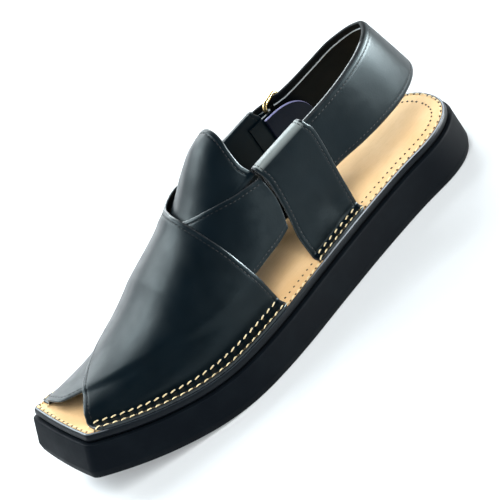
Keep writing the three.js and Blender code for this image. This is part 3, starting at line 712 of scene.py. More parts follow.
class Surface:
    """A material with its shader, and short ways to add nodes and links."""

    def __init__(self, name: str) -> None:
        """Starts a node material with one Principled shader."""
        self.material = bpy.data.materials.new(name)
        self.material.use_nodes = True
        self.tree = self.material.node_tree
        self.shader = self.tree.nodes["Principled BSDF"]
        self.place = self.add("ShaderNodeTexCoord").outputs["Object"]

    def add(self, kind: str, **inputs: object) -> bpy.types.Node:
        """Adds a node; inputs are values or sockets by name, attributes start with set_."""
        node = self.tree.nodes.new(kind)
        for name, value in inputs.items():
            if name.startswith("set_"):
                setattr(node, name[4:], value)
                continue
            socket = node.inputs[name.replace("_", " ")]
            if isinstance(value, bpy.types.NodeSocket):
                self.tree.links.new(value, socket)
            else:
                socket.default_value = value
        return node

    def link(self, source: bpy.types.NodeSocket, name: str) -> None:
        """Links a socket to an input of the shader."""
        self.tree.links.new(source, self.shader.inputs[name])

    def noise(self, size: float, detail: float = 2.0, rough: float = 0.5) -> bpy.types.NodeSocket:
        """Noise whose features are about size millimetres wide, from 0 to 1."""
        settings = {"Scale": 1000 / size, "Detail": detail, "Roughness": rough}
        return self.add("ShaderNodeTexNoise", Vector=self.place, **settings).outputs["Fac"]

    def ramp(
        self, value: bpy.types.NodeSocket, low: float, high: float, start: float, end: float
    ) -> bpy.types.NodeSocket:
        """Maps a value from low..high to start..end."""
        node = self.add("ShaderNodeMapRange", Value=value)
        for name, number in zip(("From Min", "From Max", "To Min", "To Max"), (low, high, start, end)):
            node.inputs[name].default_value = number
        return node.outputs["Result"]

    def mix(self, share: bpy.types.NodeSocket, first: object, second: object) -> bpy.types.NodeSocket:
        """Mixes two colours, given as values or sockets."""
        node = self.tree.nodes.new("ShaderNodeMix")
        node.data_type = "RGBA"
        self.tree.links.new(share, node.inputs["Factor"])
        for socket, value in ((node.inputs[6], first), (node.inputs[7], second)):
            if isinstance(value, bpy.types.NodeSocket):
                self.tree.links.new(value, socket)
            else:
                socket.default_value = (*value, 1.0)
        return node.outputs[2]

    def maths(self, operation: str, first: object, second: object) -> bpy.types.NodeSocket:
        """One arithmetic step on two values or sockets."""
        node = self.tree.nodes.new("ShaderNodeMath")
        node.operation = operation
        for socket, value in zip(node.inputs, (first, second)):
            if isinstance(value, bpy.types.NodeSocket):
                self.tree.links.new(value, socket)
            else:
                socket.default_value = value
        return node.outputs[0]

    def fix(self, **values: object) -> None:
        """Sets plain values of the shader's inputs by name."""
        for name, value in values.items():
            self.shader.inputs[name.replace("_", " ")].default_value = value

    def relief(self, height: bpy.types.NodeSocket, strength: float, depth: float) -> None:
        """Bump from a height, its depth in millimetres."""
        node = self.add("ShaderNodeBump", Height=height, Strength=strength, Distance=depth / 1000)
        self.link(node.outputs["Normal"], "Normal")


@dataclass(frozen=True)
class LeatherFinish:
    """Finished leather: grain, soft clouds of gloss, a second tone near cut edges: burnish on most finishes,
    a painted highlight on the tab's fold and the band's rim.
    """

    name: str
    colour: Colour
    wear_and_sheen: Colour
    roughness: float = 0.385
    grain: float = 0.9
    depth: float = 0.035
    coat: float = 0.06
    gloss: float = 0.19

    def material(self) -> bpy.types.Material:
        """Builds the material: grain is cells over fine noise, gloss and colour follow wide noise."""
        s = Surface(self.name)
        cloud = s.noise(22, 3)
        edge = s.add("ShaderNodeAttribute", set_attribute_name="edge").outputs["Fac"]
        light = tuple(c * 1.35 for c in self.colour)
        tone = s.mix(s.ramp(cloud, 0.35, 0.7, 0, 1), self.colour, light)
        # Towards cut edges the colour moves halfway to the second tone: burnish, or a painted highlight on
        # the fold and the band's rim
        s.link(s.mix(s.ramp(edge, 0.25, 1, 0, 0.5), tone, self.wear_and_sheen), "Base Color")
        fine = s.noise(self.grain / 2, 2)
        s.link(s.ramp(s.noise(7, 3), 0.3, 0.7, self.roughness - 0.05, self.roughness + 0.06), "Roughness")
        cells = s.add("ShaderNodeTexVoronoi", set_feature="SMOOTH_F1", Vector=s.place)
        cells.inputs["Scale"].default_value = 1000 / self.grain
        height = s.maths("ADD", cells.outputs["Distance"], s.maths("MULTIPLY", fine, 0.6))
        wide = s.maths("MULTIPLY", s.noise(5, 2), 1.5)
        s.relief(s.maths("ADD", height, wide), 0.55, self.depth)
        s.fix(Coat_Weight=self.coat, Coat_Roughness=0.28)
        s.fix(Specular_IOR_Level=self.gloss, Specular_Tint=(0.72, 0.93, 0.97, 1.0))
        return s.material


@dataclass(frozen=True)
class RubberFinish:
    """Moulded rubber: fine sandy relief and faint rubbed patches."""

    name: str
    colour: Colour
    rubbed_and_sheen: Colour
    roughness: float
    grit: float
    depth: float
    gloss: float

    def material(self) -> bpy.types.Material:
        """Builds the material: colour and gloss follow wide noise, relief follows fine noise."""
        s = Surface(self.name)
        patch = s.noise(18, 4, 0.6)
        s.link(s.mix(s.ramp(patch, 0.45, 0.75, 0, 1), self.colour, self.rubbed_and_sheen), "Base Color")
        s.link(s.ramp(patch, 0.3, 0.7, self.roughness + 0.06, self.roughness - 0.06), "Roughness")
        s.relief(s.maths("ADD", s.noise(self.grit, 3, 0.7), s.noise(6, 2)), 0.5, self.depth)
        s.fix(Specular_IOR_Level=self.gloss)
        return s.material


@dataclass(frozen=True)
class InsoleFinish:
    """Undyed tan leather: cloudy tone, fine pores and long faint fibres."""

    name: str
    pale: Colour
    warm: Colour
    roughness: float = 0.62

    def material(self) -> bpy.types.Material:
        """Builds the material: tone follows wide noise, pores darken it, fibres run lengthways."""
        s = Surface(self.name)
        cloud = s.ramp(s.noise(30, 4, 0.6), 0.35, 0.7, 0, 1)
        tone = s.mix(cloud, self.pale, self.warm)
        stretched = s.add("ShaderNodeMapping", Vector=s.place)
        stretched.inputs["Scale"].default_value = (0.25, 1, 1)
        along = stretched.outputs["Vector"]
        fibre = s.add("ShaderNodeTexNoise", Vector=along, Scale=700.0, Detail=3.0).outputs["Fac"]
        pores = s.ramp(s.noise(0.8, 2), 0.62, 0.8, 0, 0.35)
        dark = s.mix(pores, tone, tuple(c * 0.62 for c in self.warm))
        shaded = tuple(c * 0.8 for c in self.warm)
        s.link(s.mix(s.ramp(fibre, 0.5, 0.8, 0, 0.25), dark, shaded), "Base Color")
        s.fix(Roughness=self.roughness, Specular_IOR_Level=0.08)
        s.relief(s.maths("ADD", s.noise(0.7, 2), fibre), 0.4, 0.05)
        return s.material


@dataclass(frozen=True)
class MetalFinish:
    """Polished brass with faint cloudy tarnish and fine rub marks."""

    name: str
    colour: Colour
    tarnish: Colour
    roughness: float = 0.24

    def material(self) -> bpy.types.Material:
        """Builds the material: tarnish and gloss follow noise."""
        s = Surface(self.name)
        cloud = s.ramp(s.noise(3, 3, 0.6), 0.4, 0.75, 0, 0.6)
        s.link(s.mix(cloud, self.colour, self.tarnish), "Base Color")
        s.fix(Metallic=1.0)
        s.link(s.ramp(s.noise(1.2, 3), 0.3, 0.7, self.roughness - 0.05, self.roughness + 0.1), "Roughness")
        s.relief(s.noise(0.6, 2), 0.2, 0.02)
        return s.material


@dataclass(frozen=True)
class ThreadFinish:
    """Waxed thread: a twist in fine bands and a soft sheen."""

    name: str
    colour: Colour
    shade: Colour
    roughness: float = 0.55

    def material(self) -> bpy.types.Material:
        """Builds the material: fine noise mixes two tones and gives the fibres their relief."""
        s = Surface(self.name)
        fibre = s.noise(0.35, 2)
        s.link(s.mix(s.ramp(fibre, 0.35, 0.7, 0, 1), self.shade, self.colour), "Base Color")
        s.fix(Roughness=self.roughness)
        s.relief(fibre, 0.5, 0.05)
        return s.material


class Finish(Enum):
    """The finishes of this shoe."""

    LEATHER = LeatherFinish("black_leather", (0.0006, 0.0026, 0.0046), (0.003, 0.0065, 0.0095))
    EDGE = LeatherFinish(
        "inked_edge", (0.014, 0.016, 0.018), (0.02, 0.022, 0.025),
        roughness=0.28, grain=0.5, depth=0.02, coat=0.12, gloss=0.32,
    )
    LINING = LeatherFinish(
        "dark_lining", (0.0012, 0.0016, 0.0020), (0.003, 0.003, 0.004),
        roughness=0.55, grain=0.8, depth=0.04, coat=0.0, gloss=0.12,
    )
    FLAP = LeatherFinish(
        "navy_flap", (0.0018, 0.0030, 0.0090), (0.003, 0.004, 0.012),
        roughness=0.42, grain=0.8, depth=0.04, coat=0.05,
    )
    # A pale line standing for a painted highlight along the strap's inner top edge
    LINE = LeatherFinish(
        "painted_sheen_line", (0.22, 0.25, 0.27), (0.26, 0.29, 0.31),
        roughness=0.3, grain=0.5, depth=0.02, coat=0.3, gloss=0.5,
    )
    # The fold's pale second tone is a painted highlight along the top of the tab's fold
    FOLD = LeatherFinish("fold_painted_highlight", (0.0006, 0.0026, 0.0046), (0.34, 0.39, 0.39), roughness=0.36)
    PIPING = LeatherFinish(
        "lavender_edge", (0.16, 0.17, 0.33), (0.2, 0.2, 0.36),
        roughness=0.35, grain=0.5, depth=0.02, coat=0.2, gloss=0.4,
    )
    OUTSOLE = RubberFinish(
        "outsole_rubber", (0.0022, 0.0038, 0.0060), (0.004, 0.0065, 0.009),
        roughness=0.58, grit=0.7, depth=0.05, gloss=0.05,
    )
    BAND = RubberFinish(
        "moulded_band", (0.0030, 0.0048, 0.0072), (0.005, 0.0075, 0.010),
        roughness=0.42, grit=0.9, depth=0.03, gloss=0.14,
    )
    # The band rim's pale second tone is a painted highlight on the band's rounded shoulder
    BAND_RIM = LeatherFinish(
        "band_rim_painted_highlight", (0.012, 0.015, 0.020), (0.62, 0.68, 0.76),
        roughness=0.38, grain=0.9, depth=0.03, coat=0.1, gloss=0.4,
    )
    INSOLE = InsoleFinish("tan_insole", (0.77, 0.535, 0.29), (0.71, 0.46, 0.225))
    BRASS = MetalFinish("rubbed_brass", (0.78, 0.56, 0.24), (0.42, 0.28, 0.12))
    CREAM = ThreadFinish("cream_thread", (0.88, 0.76, 0.47), (0.68, 0.55, 0.30))
    # Dark hole colour: real needle holes, and painted shade between the outer row's stitches
    HOLE = ThreadFinish("dark_hole_and_shade", (0.10, 0.065, 0.02), (0.03, 0.018, 0.006), roughness=0.7)
    BLACK = ThreadFinish("black_thread", (0.003, 0.004, 0.005), (0.002, 0.002, 0.003), roughness=0.75)

    @property
    def made(self) -> bpy.types.Material:
        """The finish's material, made once."""
        return bpy.data.materials.get(self.value.name) or self.value.material()


@dataclass
class Workshop:
    """Turns shells into finished pieces of the shoe."""

    last: Last
    pieces: list[bpy.types.Object] = field(default_factory=list)

    def piece(
        self,
        name: str,
        shell: Shell,
        finishes: list[Finish],
        slot: str = "upper_leather",
        nodes: tuple[str, ...] = (),
        crease: float = 40,
    ) -> bpy.types.Object:
        """Makes one object in metres in the shared frame, and lets it ride on the shoe.

        Args:
            name: the piece's name.
            shell: its shape in millimetres on the shoe's own axis.
            finishes: what its faces' finish numbers stand for.
            slot: the record's material slot; not used.
            nodes: the solids that it stands for.
            crease: degrees between faces past which an edge stays sharp.

        Returns:
            The object.
        """
        mesh = bpy.data.meshes.new(name)
        points = ((shell.points + np.array(self.last.shift)) / 1000).astype(np.float32)
        mesh.vertices.add(len(points))
        mesh.vertices.foreach_set("co", points.ravel())
        mesh.loops.add(shell.quads.size)
        mesh.loops.foreach_set("vertex_index", shell.quads.ravel().astype(np.int32))
        mesh.polygons.add(len(shell.quads))
        mesh.polygons.foreach_set("loop_start", np.arange(0, shell.quads.size, 4, dtype=np.int32))
        mesh.polygons.foreach_set("material_index", shell.finish.astype(np.int32))
        mesh.update(calc_edges=True)
        mesh.validate()
        edge = mesh.attributes.new("edge", "FLOAT", "POINT")
        edge.data.foreach_set("value", shell.edge.astype(np.float32))
        for finish in finishes:
            mesh.materials.append(finish.made)
        mesh.shade_smooth()
        mesh.set_sharp_from_angle(angle=np.radians(crease))
        made = bpy.data.objects.new(name, mesh)
        bpy.context.scene.collection.objects.link(made)
        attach(made, "root")
        if nodes:
            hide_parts(*nodes)
        self.pieces.append(made)
        log.info("%s: %d faces", name, len(shell.quads))
        return made


# Sub-assemblies


def rounded(path: Array, reach: float, step: float = 0.5) -> Array:
    """A path with its corners rounded: evenly spaced points, each the mean of those within reach."""
    along = travel(path)
    places = np.linspace(0, along[-1], int(along[-1] / step) + 1)
    even = np.stack([np.interp(places, along, column) for column in path.T], axis=1)
    wide = int(reach / step)
    longer = np.pad(even, ((wide, wide), (0, 0)), mode="reflect", reflect_type="odd")
    share = np.ones(2 * wide + 1) / (2 * wide + 1)
    return np.stack([np.convolve(column, share, "valid") for column in longer.T], axis=1)


def runs(wanted: Array) -> list[Array]:
    """The stretches of a row of points that are wanted, as lists of their numbers."""
    index = np.flatnonzero(wanted)
    parts = np.split(index, np.flatnonzero(np.diff(index) > 1) + 1)
    return [part for part in parts if len(part) > 3]


@dataclass(frozen=True)
class InnerRow:
    """An inner row of stitches: where it runs, its inset, lift and tilt to the side."""

    rear: float
    front: float
    inset: float
    lift: float
    tilt: float


@dataclass
class Sole:
    """Outsole block, band and insole, with the seams that hold the flanges down."""

    shop: Workshop
    bevel_inset: float = 1.7
    bevel_height: float = 4.1
    rim_width: float = 1.3
    insole_thickness: float = 1.6
    tread_depth: float = 0.9
    tread_pitch: float = 7.0
    dish: float = 0.7
    flange_wall: float = 1.5
    flange_fade: float = 3.0
    seam_inset: float = 3.9
    seam_round: float = 2.5
    holes_inset: float = 9.6
    panel_row: InnerRow = InnerRow(rear=0, front=131.3, inset=11.1, lift=0.5, tilt=0.77)
    tab_row: InnerRow = InnerRow(rear=-200, front=0, inset=8.4, lift=0.1, tilt=0.3)
    thread: Seam = Seam(4.7, 3.4, 0.43, 0.3, slant=14)
    holes: Seam = Seam(3.6, 1.5, 0.56, -0.05)
    # Dark marks between the outer row's stitches: needle holes with painted shade
    needle_holes_and_shade: Seam = Seam(4.7, 1.4, 0.62, 0.0, slant=14, phase=0.0)

    def level(self, inset: float, surface: Height, rise: float) -> Array:
        """One ring of points at an inset from the outline, a rise over a surface."""
        inner, outer = self.shop.last.inset(inset)
        x, y = np.concatenate([inner, outer[::-1]]).T
        return self.shop.last.sprung(x, y, surface(x) + rise)

    def tread(self, x: Array) -> Array:
        """Depth of the grooves across the bottom: a cosine cut off below and eased."""
        wave = np.cos(2 * np.pi * x / self.tread_pitch)
        return self.tread_depth * smooth_step(2.2 * (wave - 0.45))

    def outsole(self) -> None:
        """The block: grooved bottom, bevelled foot, upright side, rounded top edge."""
        top = self.shop.last.thickness
        bevel, height = self.bevel_inset, self.bevel_height

        def bottom(x: Array) -> Array:
            """The floor."""
            return 0 * x

        def middle(x: Array) -> Array:
            """Half the block's height."""
            return top(x) * 0.5

        levels = (
            (9.0, self.tread, 0.0),
            (6.6, self.tread, 0.0),
            (6.0, bottom, 0.0),
            (bevel * 1.25, bottom, 0.0),
            (bevel * 1.05, bottom, 0.05),
            (bevel * 0.94, bottom, 0.3),
            (0.16, bottom, height - 0.25),
            (0.04, bottom, height + 0.1),
            (0.0, bottom, height + 0.6),
            (0.0, middle, 0.0),
            (0.0, top, -1.1),
            (0.12, top, -0.5),
            (0.42, top, -0.12),
            (0.95, top, 0.0),
            (5.0, top, 0.0),
        )
        shell = rings_shell([self.level(*row) for row in levels])
        self.shop.piece("outsole_block", shell, [Finish.OUTSOLE], "sole_rubber", ("outsole",))

    def band(self) -> None:
        """The band over the block: undercut below, rounded above, with a bed for the insole."""
        last = self.shop.last
        bed, rim, sunk = last.bed, self.rim_width, -self.insole_thickness - 0.25

        def seat(x: Array) -> Array:
            """The band's underside, a gap over the block."""
            return last.thickness(x) + last.gap

        levels = (
            (6.0, seat, 0.05),
            (2.4, seat, 0.05),
            (1.5, seat, 0.25),
            (0.75, seat, 0.8),
            (0.2, seat, 1.35),
            (0.0, seat, 1.95),
            (0.0, bed, -1.7),
            (0.12, bed, -1.0),
            (0.4, bed, -0.42),
            (0.8, bed, -0.1),
            (1.1, bed, 0.0),
            (rim + 0.25, bed, 0.0),
            (rim + 0.3, bed, sunk),
            (8.0, bed, sunk),
        )
        rings = [self.level(last.band_inset + inset, surface, rise) for inset, surface, rise in levels]
        shell = rings_shell(rings)
        # Only the rounded shoulder between the ninth and the eleventh ring gets the rim finish, a painted
        # highlight line
        around = len(rings[0])
        shell.finish[8 * around:10 * around] = Zone.RIM
        # The painted highlight is full from the heel to behind the middle, gone ahead of it, and weaker at
        # the toe's front
        x = shell.points[:, 0]
        shell.edge = np.maximum(smooth_step((20 - x) / 70), 0.45 * smooth_step((x - 118) / 8))
        self.shop.piece("sole_band", shell, [Finish.BAND, Finish.BAND_RIM], "band_rubber", ("midsole",))

    def bed_height(self, x: Array, y: Array) -> Array:
        """Top of the insole with a shallow dish under the heel and another under the ball."""
        last = self.shop.last
        depth = sum(
            part * bell(x - place, length) * bell(y, width)
            for place, length, width, part in DISHES
        )
        return last.bed(x) - self.dish * depth

    def insole(self) -> None:
        """The tan sheet in the bed of the band: a grid of cross strips with a rounded edge."""
        last = self.shop.last
        inner, outer = last.inset(last.band_inset + self.rim_width + last.gap)
        t = clustered(80, 44, 1.0, 4)[None, :, None]
        plan = inner[:, None] * (1 - t) + outer[:, None] * t
        x, y = plan[..., 0], plan[..., 1]
        top = last.sprung(x, y, self.bed_height(x, y))
        bottom = last.sprung(x, y, last.bed(x) - self.insole_thickness)
        shell = leather(bottom, top, 0.35, 4)
        self.shop.piece("insole_sheet", shell, [Finish.INSOLE, Finish.INSOLE], "insole_leather", ("insole",))

    def flange(self, x: Array, y: Array) -> Array:
        """1 where a flange covers the edge of the sole, falling to 0 past its ends."""
        last = self.shop.last
        share = last.share(x)
        fade = last.length / self.flange_fade
        tab = (TAB_EDGES[0, 2], TAB_EDGES[0, 1])
        cover = np.zeros_like(x)
        for side, rear, front in ((1, MEDIAL_REAR, MEDIAL_FRONT), (-1, LATERAL_REAR, LATERAL_FRONT)):
            for low, high in ((rear[0, 0], front[0, 0]), tab):
                inside = smooth_step((share - low) * fade + 0.5) * smooth_step((high - share) * fade + 0.5)
                cover = np.where(y * side > 0, np.maximum(cover, inside), cover)
        return cover

    def seam_path(self, inset: float, raised: float, straight: bool = False) -> tuple[Array, Array]:
        """A seam all round the sole at an inset, lifted where a flange lies under it.

        Args:
            inset: distance from the outline.
            raised: height of the leather's face over the bed where a flange lies.
            straight: whether the inset is measured straight across the sole.

        Returns:
            Points and normals round the sole from heel to heel.
        """
        last = self.shop.last
        rim, back = last.outline()
        whole = np.concatenate([rim, back[::-1]])
        if straight:
            x, y = whole.T
            y = np.sign(y) * (last.half_width(x, y) - inset)
        else:
            inner, outer = last.inset(inset)
            ring = np.concatenate([inner, outer[::-1]])
            least = np.linalg.norm(ring[:, None] - whole[None], axis=2).min(axis=1)
            x, y = rounded(ring[least > inset - 0.08], self.seam_round).T
        z = last.bed(x) + 0.05 + raised * self.flange(x, y)
        path = last.sprung(x, y, z)
        above = last.sprung(x, y, z + 1)
        return path, unit(above - path)

    def seams(self) -> None:
        """The outer cream row all round, the inner one on the flanges, holes between them, and dark needle
        holes with painted shade between the outer row's stitches.
        """
        face = self.flange_wall + self.shop.last.gap
        path, normal = self.seam_path(self.seam_inset, face - 0.05)
        rows = [self.thread.sewn(path, normal)]
        # Dark marks between the outer stitches: needle holes with painted shade
        needle_holes_and_shade = self.needle_holes_and_shade.sewn(path, normal)
        for row in (self.panel_row, self.tab_row):
            path, normal = self.seam_path(row.inset, face + row.lift, straight=True)
            x, y = path[:, 0], path[:, 1]
            outward = np.stack([0 * x, np.sign(y), 0 * x], axis=1)
            normal = unit(normal * (1 - row.tilt**2) ** 0.5 + outward * row.tilt)
            for part in runs((self.flange(x, y) > 0.97) & (x > row.rear) & (x < row.front)):
                rows.append(self.thread.sewn(path[part], normal[part]))
        self.shop.piece("edge_seams", Shell.joined(rows), [Finish.CREAM])
        path, normal = self.seam_path(self.holes_inset, 0.0)
        bare = self.flange(path[:, 0], path[:, 1]) < 0.02
        holes = [self.holes.sewn(path[part], normal[part]) for part in runs(bare)]
        self.shop.piece("insole_holes_and_shade", Shell.joined([needle_holes_and_shade, *holes]), [Finish.HOLE], "insole_leather")

    def build(self) -> None:
        """Makes the pieces of the sole."""
        self.outsole()
        self.band()
        self.insole()
        self.seams()


@dataclass
class Panel:
    """One of the two broad panels: a flange on the sole, a wall, and the sweep over the instep."""

    shop: Workshop
    name: str
    side: Side
    rear: Array
    front: Array
    over: bool
    wall: float = 1.5
    drape: float = 8.0
    bite: float = 0.4
    turn_length: float = 0.6
    corner: float = 3.0
    looseness: float = 1.9
    seam: Seam = FINE_SEAM
    seam_inset: float = 2.3
    groove: Pair = (0.16, 0.55)
    edge: Pair = (0.22, 0.8)

    def curve(self, rows: Array) -> Curve:
        """An edge table as a curve over the skin, in millimetres and scaled degrees."""
        return Curve(np.stack([self.shop.last.place(rows[:, 0]), rows[:, 1] * self.turn_length], axis=1))

    def patch(self, u: Array, v: Array) -> tuple[Array, Array]:
        """Coons patch: both pairs of edges blended, less the blend of the corners.

        Args:
            u: shares from the wall's foot to the far end.
            v: shares from the rear to the front edge.

        Returns:
            Places along the sole and degrees round the last.
        """
        rear, front, end = (self.curve(t) for t in (self.rear, self.front, PANEL_END))
        r, f, e = rear.at_length(u)[:, None], front.at_length(u)[:, None], end.at_length(v)[None]
        c0, c1 = rear.at(0.0), rear.at(1.0)
        c2, c3 = front.at(0.0), front.at(1.0)
        u, v = u[:, None, None], v[None, :, None]
        foot = c0 + (c2 - c0) * v
        blend = r * (1 - v) + f * v + foot * (1 - u) + e * u
        blend = blend - c0 * (1 - u) * (1 - v) - c1 * u * (1 - v) - c2 * (1 - u) * v - c3 * u * v
        return blend[..., 0], blend[..., 1] / self.turn_length

    def cover(self, x: Array, turn: Array) -> Array:
        """How far this panel lies on the other one: 1 over it, 0 past its edges."""
        last = self.shop.last
        share = np.minimum(last.share(x), LATERAL_FRONT[0, 0])
        lower = -monotone(LATERAL_FRONT[2:, 0], LATERAL_FRONT[2:, 1], share)
        rear = last.place(monotone(LATERAL_REAR[:, 1], LATERAL_REAR[:, 0], -turn))
        own = smooth_step((lower - turn) * self.turn_length / self.drape + 1)
        return own * smooth_step((x - rear) / self.drape + 1)

    def creases(self, x: Array, turn: Array) -> Array:
        """Soft hollows and swells that the pull of the seam leaves in the leather."""
        pulls = sum(
            depth * bell(x - place - 0.35 * (turn - 80), width)
            for place, width, depth in SEAM_PULLS
        )
        flex = 0.10 * bell(x - 30 - 0.2 * turn, 14) - 0.12 * bell(x - 62 - 0.2 * turn, 16)
        return bell(turn - 74, 12) * pulls + flex * bell(turn, 45)

    def grids(self) -> tuple[Array, Array, Array]:
        """Inner face, outer face and outward normals as grids from the flange to the far end."""
        last = self.shop.last
        u, v = clustered(150, 120), clustered(100, 110)
        x, turn = self.patch(u, v)
        arc = last.foot_radius * np.pi / 2
        flat = last.flange_width - last.foot_radius
        beside = np.array([0, 0.4, 0.9, 1.6, 2.4, 3.3, 4.3, 5.5, 6.6])
        feet = np.concatenate([arc + flat - beside, arc * np.linspace(1, 0.1, 7)])
        spread = x[:1] - x[:1].mean()
        reach = np.maximum(feet - (arc + flat - self.corner), 0)
        shrink = self.corner - np.sqrt(np.maximum(self.corner**2 - reach**2, 0))
        half = (x[0].max() - x[0].min()) / 2
        foot_x = x[:1].mean() + spread * (1 - shrink[:, None] / half)
        x = np.concatenate([foot_x, x])
        turn = np.concatenate([np.repeat(90 + feet[:, None], len(v), axis=1), turn])
        sign = self.side.value
        cover = self.cover(x, sign * turn) if self.over else np.zeros_like(x)
        pull = self.creases(x, np.minimum(turn, 90)) * (turn < 90)
        if self.over:
            middle = last.place(monotone(MEDIAL_REAR[:, 1], MEDIAL_REAR[:, 0], turn))
            loose = smooth_step((26 - turn) / 26) * smooth_step((turn + 62) / 24)
            pull = pull + self.looseness * loose * bell(np.maximum(x - middle, 0), 9)
        lift = cover * (self.wall - self.bite) + pull
        inner, _ = last.skin(x, sign * turn, lift)
        outer, normal = last.skin(x, sign * turn, self.wall * (1 + cover) + pull)
        depth = pressed(border(outer, "we"), self.seam_inset, self.groove, self.edge)
        outer = outer - normal * depth[..., None]
        return inner, outer, normal

    def build(self, nodes: tuple[str, ...]) -> None:
        """Makes the panel and the fine black seams along its edges."""
        inner, outer, normal = self.grids()
        self.shop.piece(self.name, leather(inner, outer), [Finish.LEATHER, Finish.EDGE], nodes=nodes)
        rows = []
        for side in "we":
            path, up = line_at(outer, normal, self.seam_inset, side)
            rows.append(self.seam.sewn(path[18:-6], up[18:-6]))
        self.shop.piece(self.name + "_seams", Shell.joined(rows), [Finish.BLACK])


@dataclass
class Tongue:
    """The domed tongue under the panels."""

    shop: Workshop
    wall: float = 2.2
    gap: float = 0.6
    reach: float = 88.0
    behind: float = 5.0
    side_rear: float = 50.0
    side_front: float = 26.0
    seam: Seam = FINE_SEAM
    seam_inset: float = 2.6
    groove: Pair = (0.2, 0.6)
    edge: Pair = (0.3, 0.9)

    def build(self) -> None:
        """A grid over the last: rows along its length, columns round the instep."""
        last = self.shop.last
        rows, columns = clustered(90, 90), clustered(90, 90)
        share, across = rows[:, None], (2 * columns - 1)[None]
        middle = last.place(MEDIAL_REAR[5, 0])
        back = last.place(RIDGE[0, 0]) - middle + self.behind
        front = middle + back + self.reach
        turn = across * (self.side_rear + (self.side_front - self.side_rear) * smooth_step(share))
        aside = np.abs(across) * self.side_rear
        rear = middle + back * monotone(TONGUE_REAR[:, 0], TONGUE_REAR[:, 1], aside)
        x = rear + (front - rear) * share
        soft = -0.15 * bell(x + 6 - 0.2 * turn, 12) * bell(turn - 12, 30)
        inner, _ = last.skin(x, turn, -self.gap - self.wall + soft)
        outer, normal = last.skin(x, turn, -self.gap + soft)
        depth = pressed(border(outer, "nwe"), self.seam_inset, self.groove, self.edge)
        outer = outer - normal * depth[..., None]
        finishes = [Finish.LEATHER, Finish.EDGE]
        self.shop.piece("tongue_leather", leather(inner, outer), finishes, nodes=("tongue",))
        path, up = line_at(outer, normal, self.seam_inset, "n")
        self.shop.piece("tongue_seam", self.seam.sewn(path[8:-8], up[8:-8]), [Finish.BLACK])


class Stretch(IntEnum):
    """The stretches of a tab's sheet: up from the sole, over the fold and down again inside."""

    FLANGE = 0
    FOOT = 1
    WALL = 2
    FOLD = 3
    LINING = 4


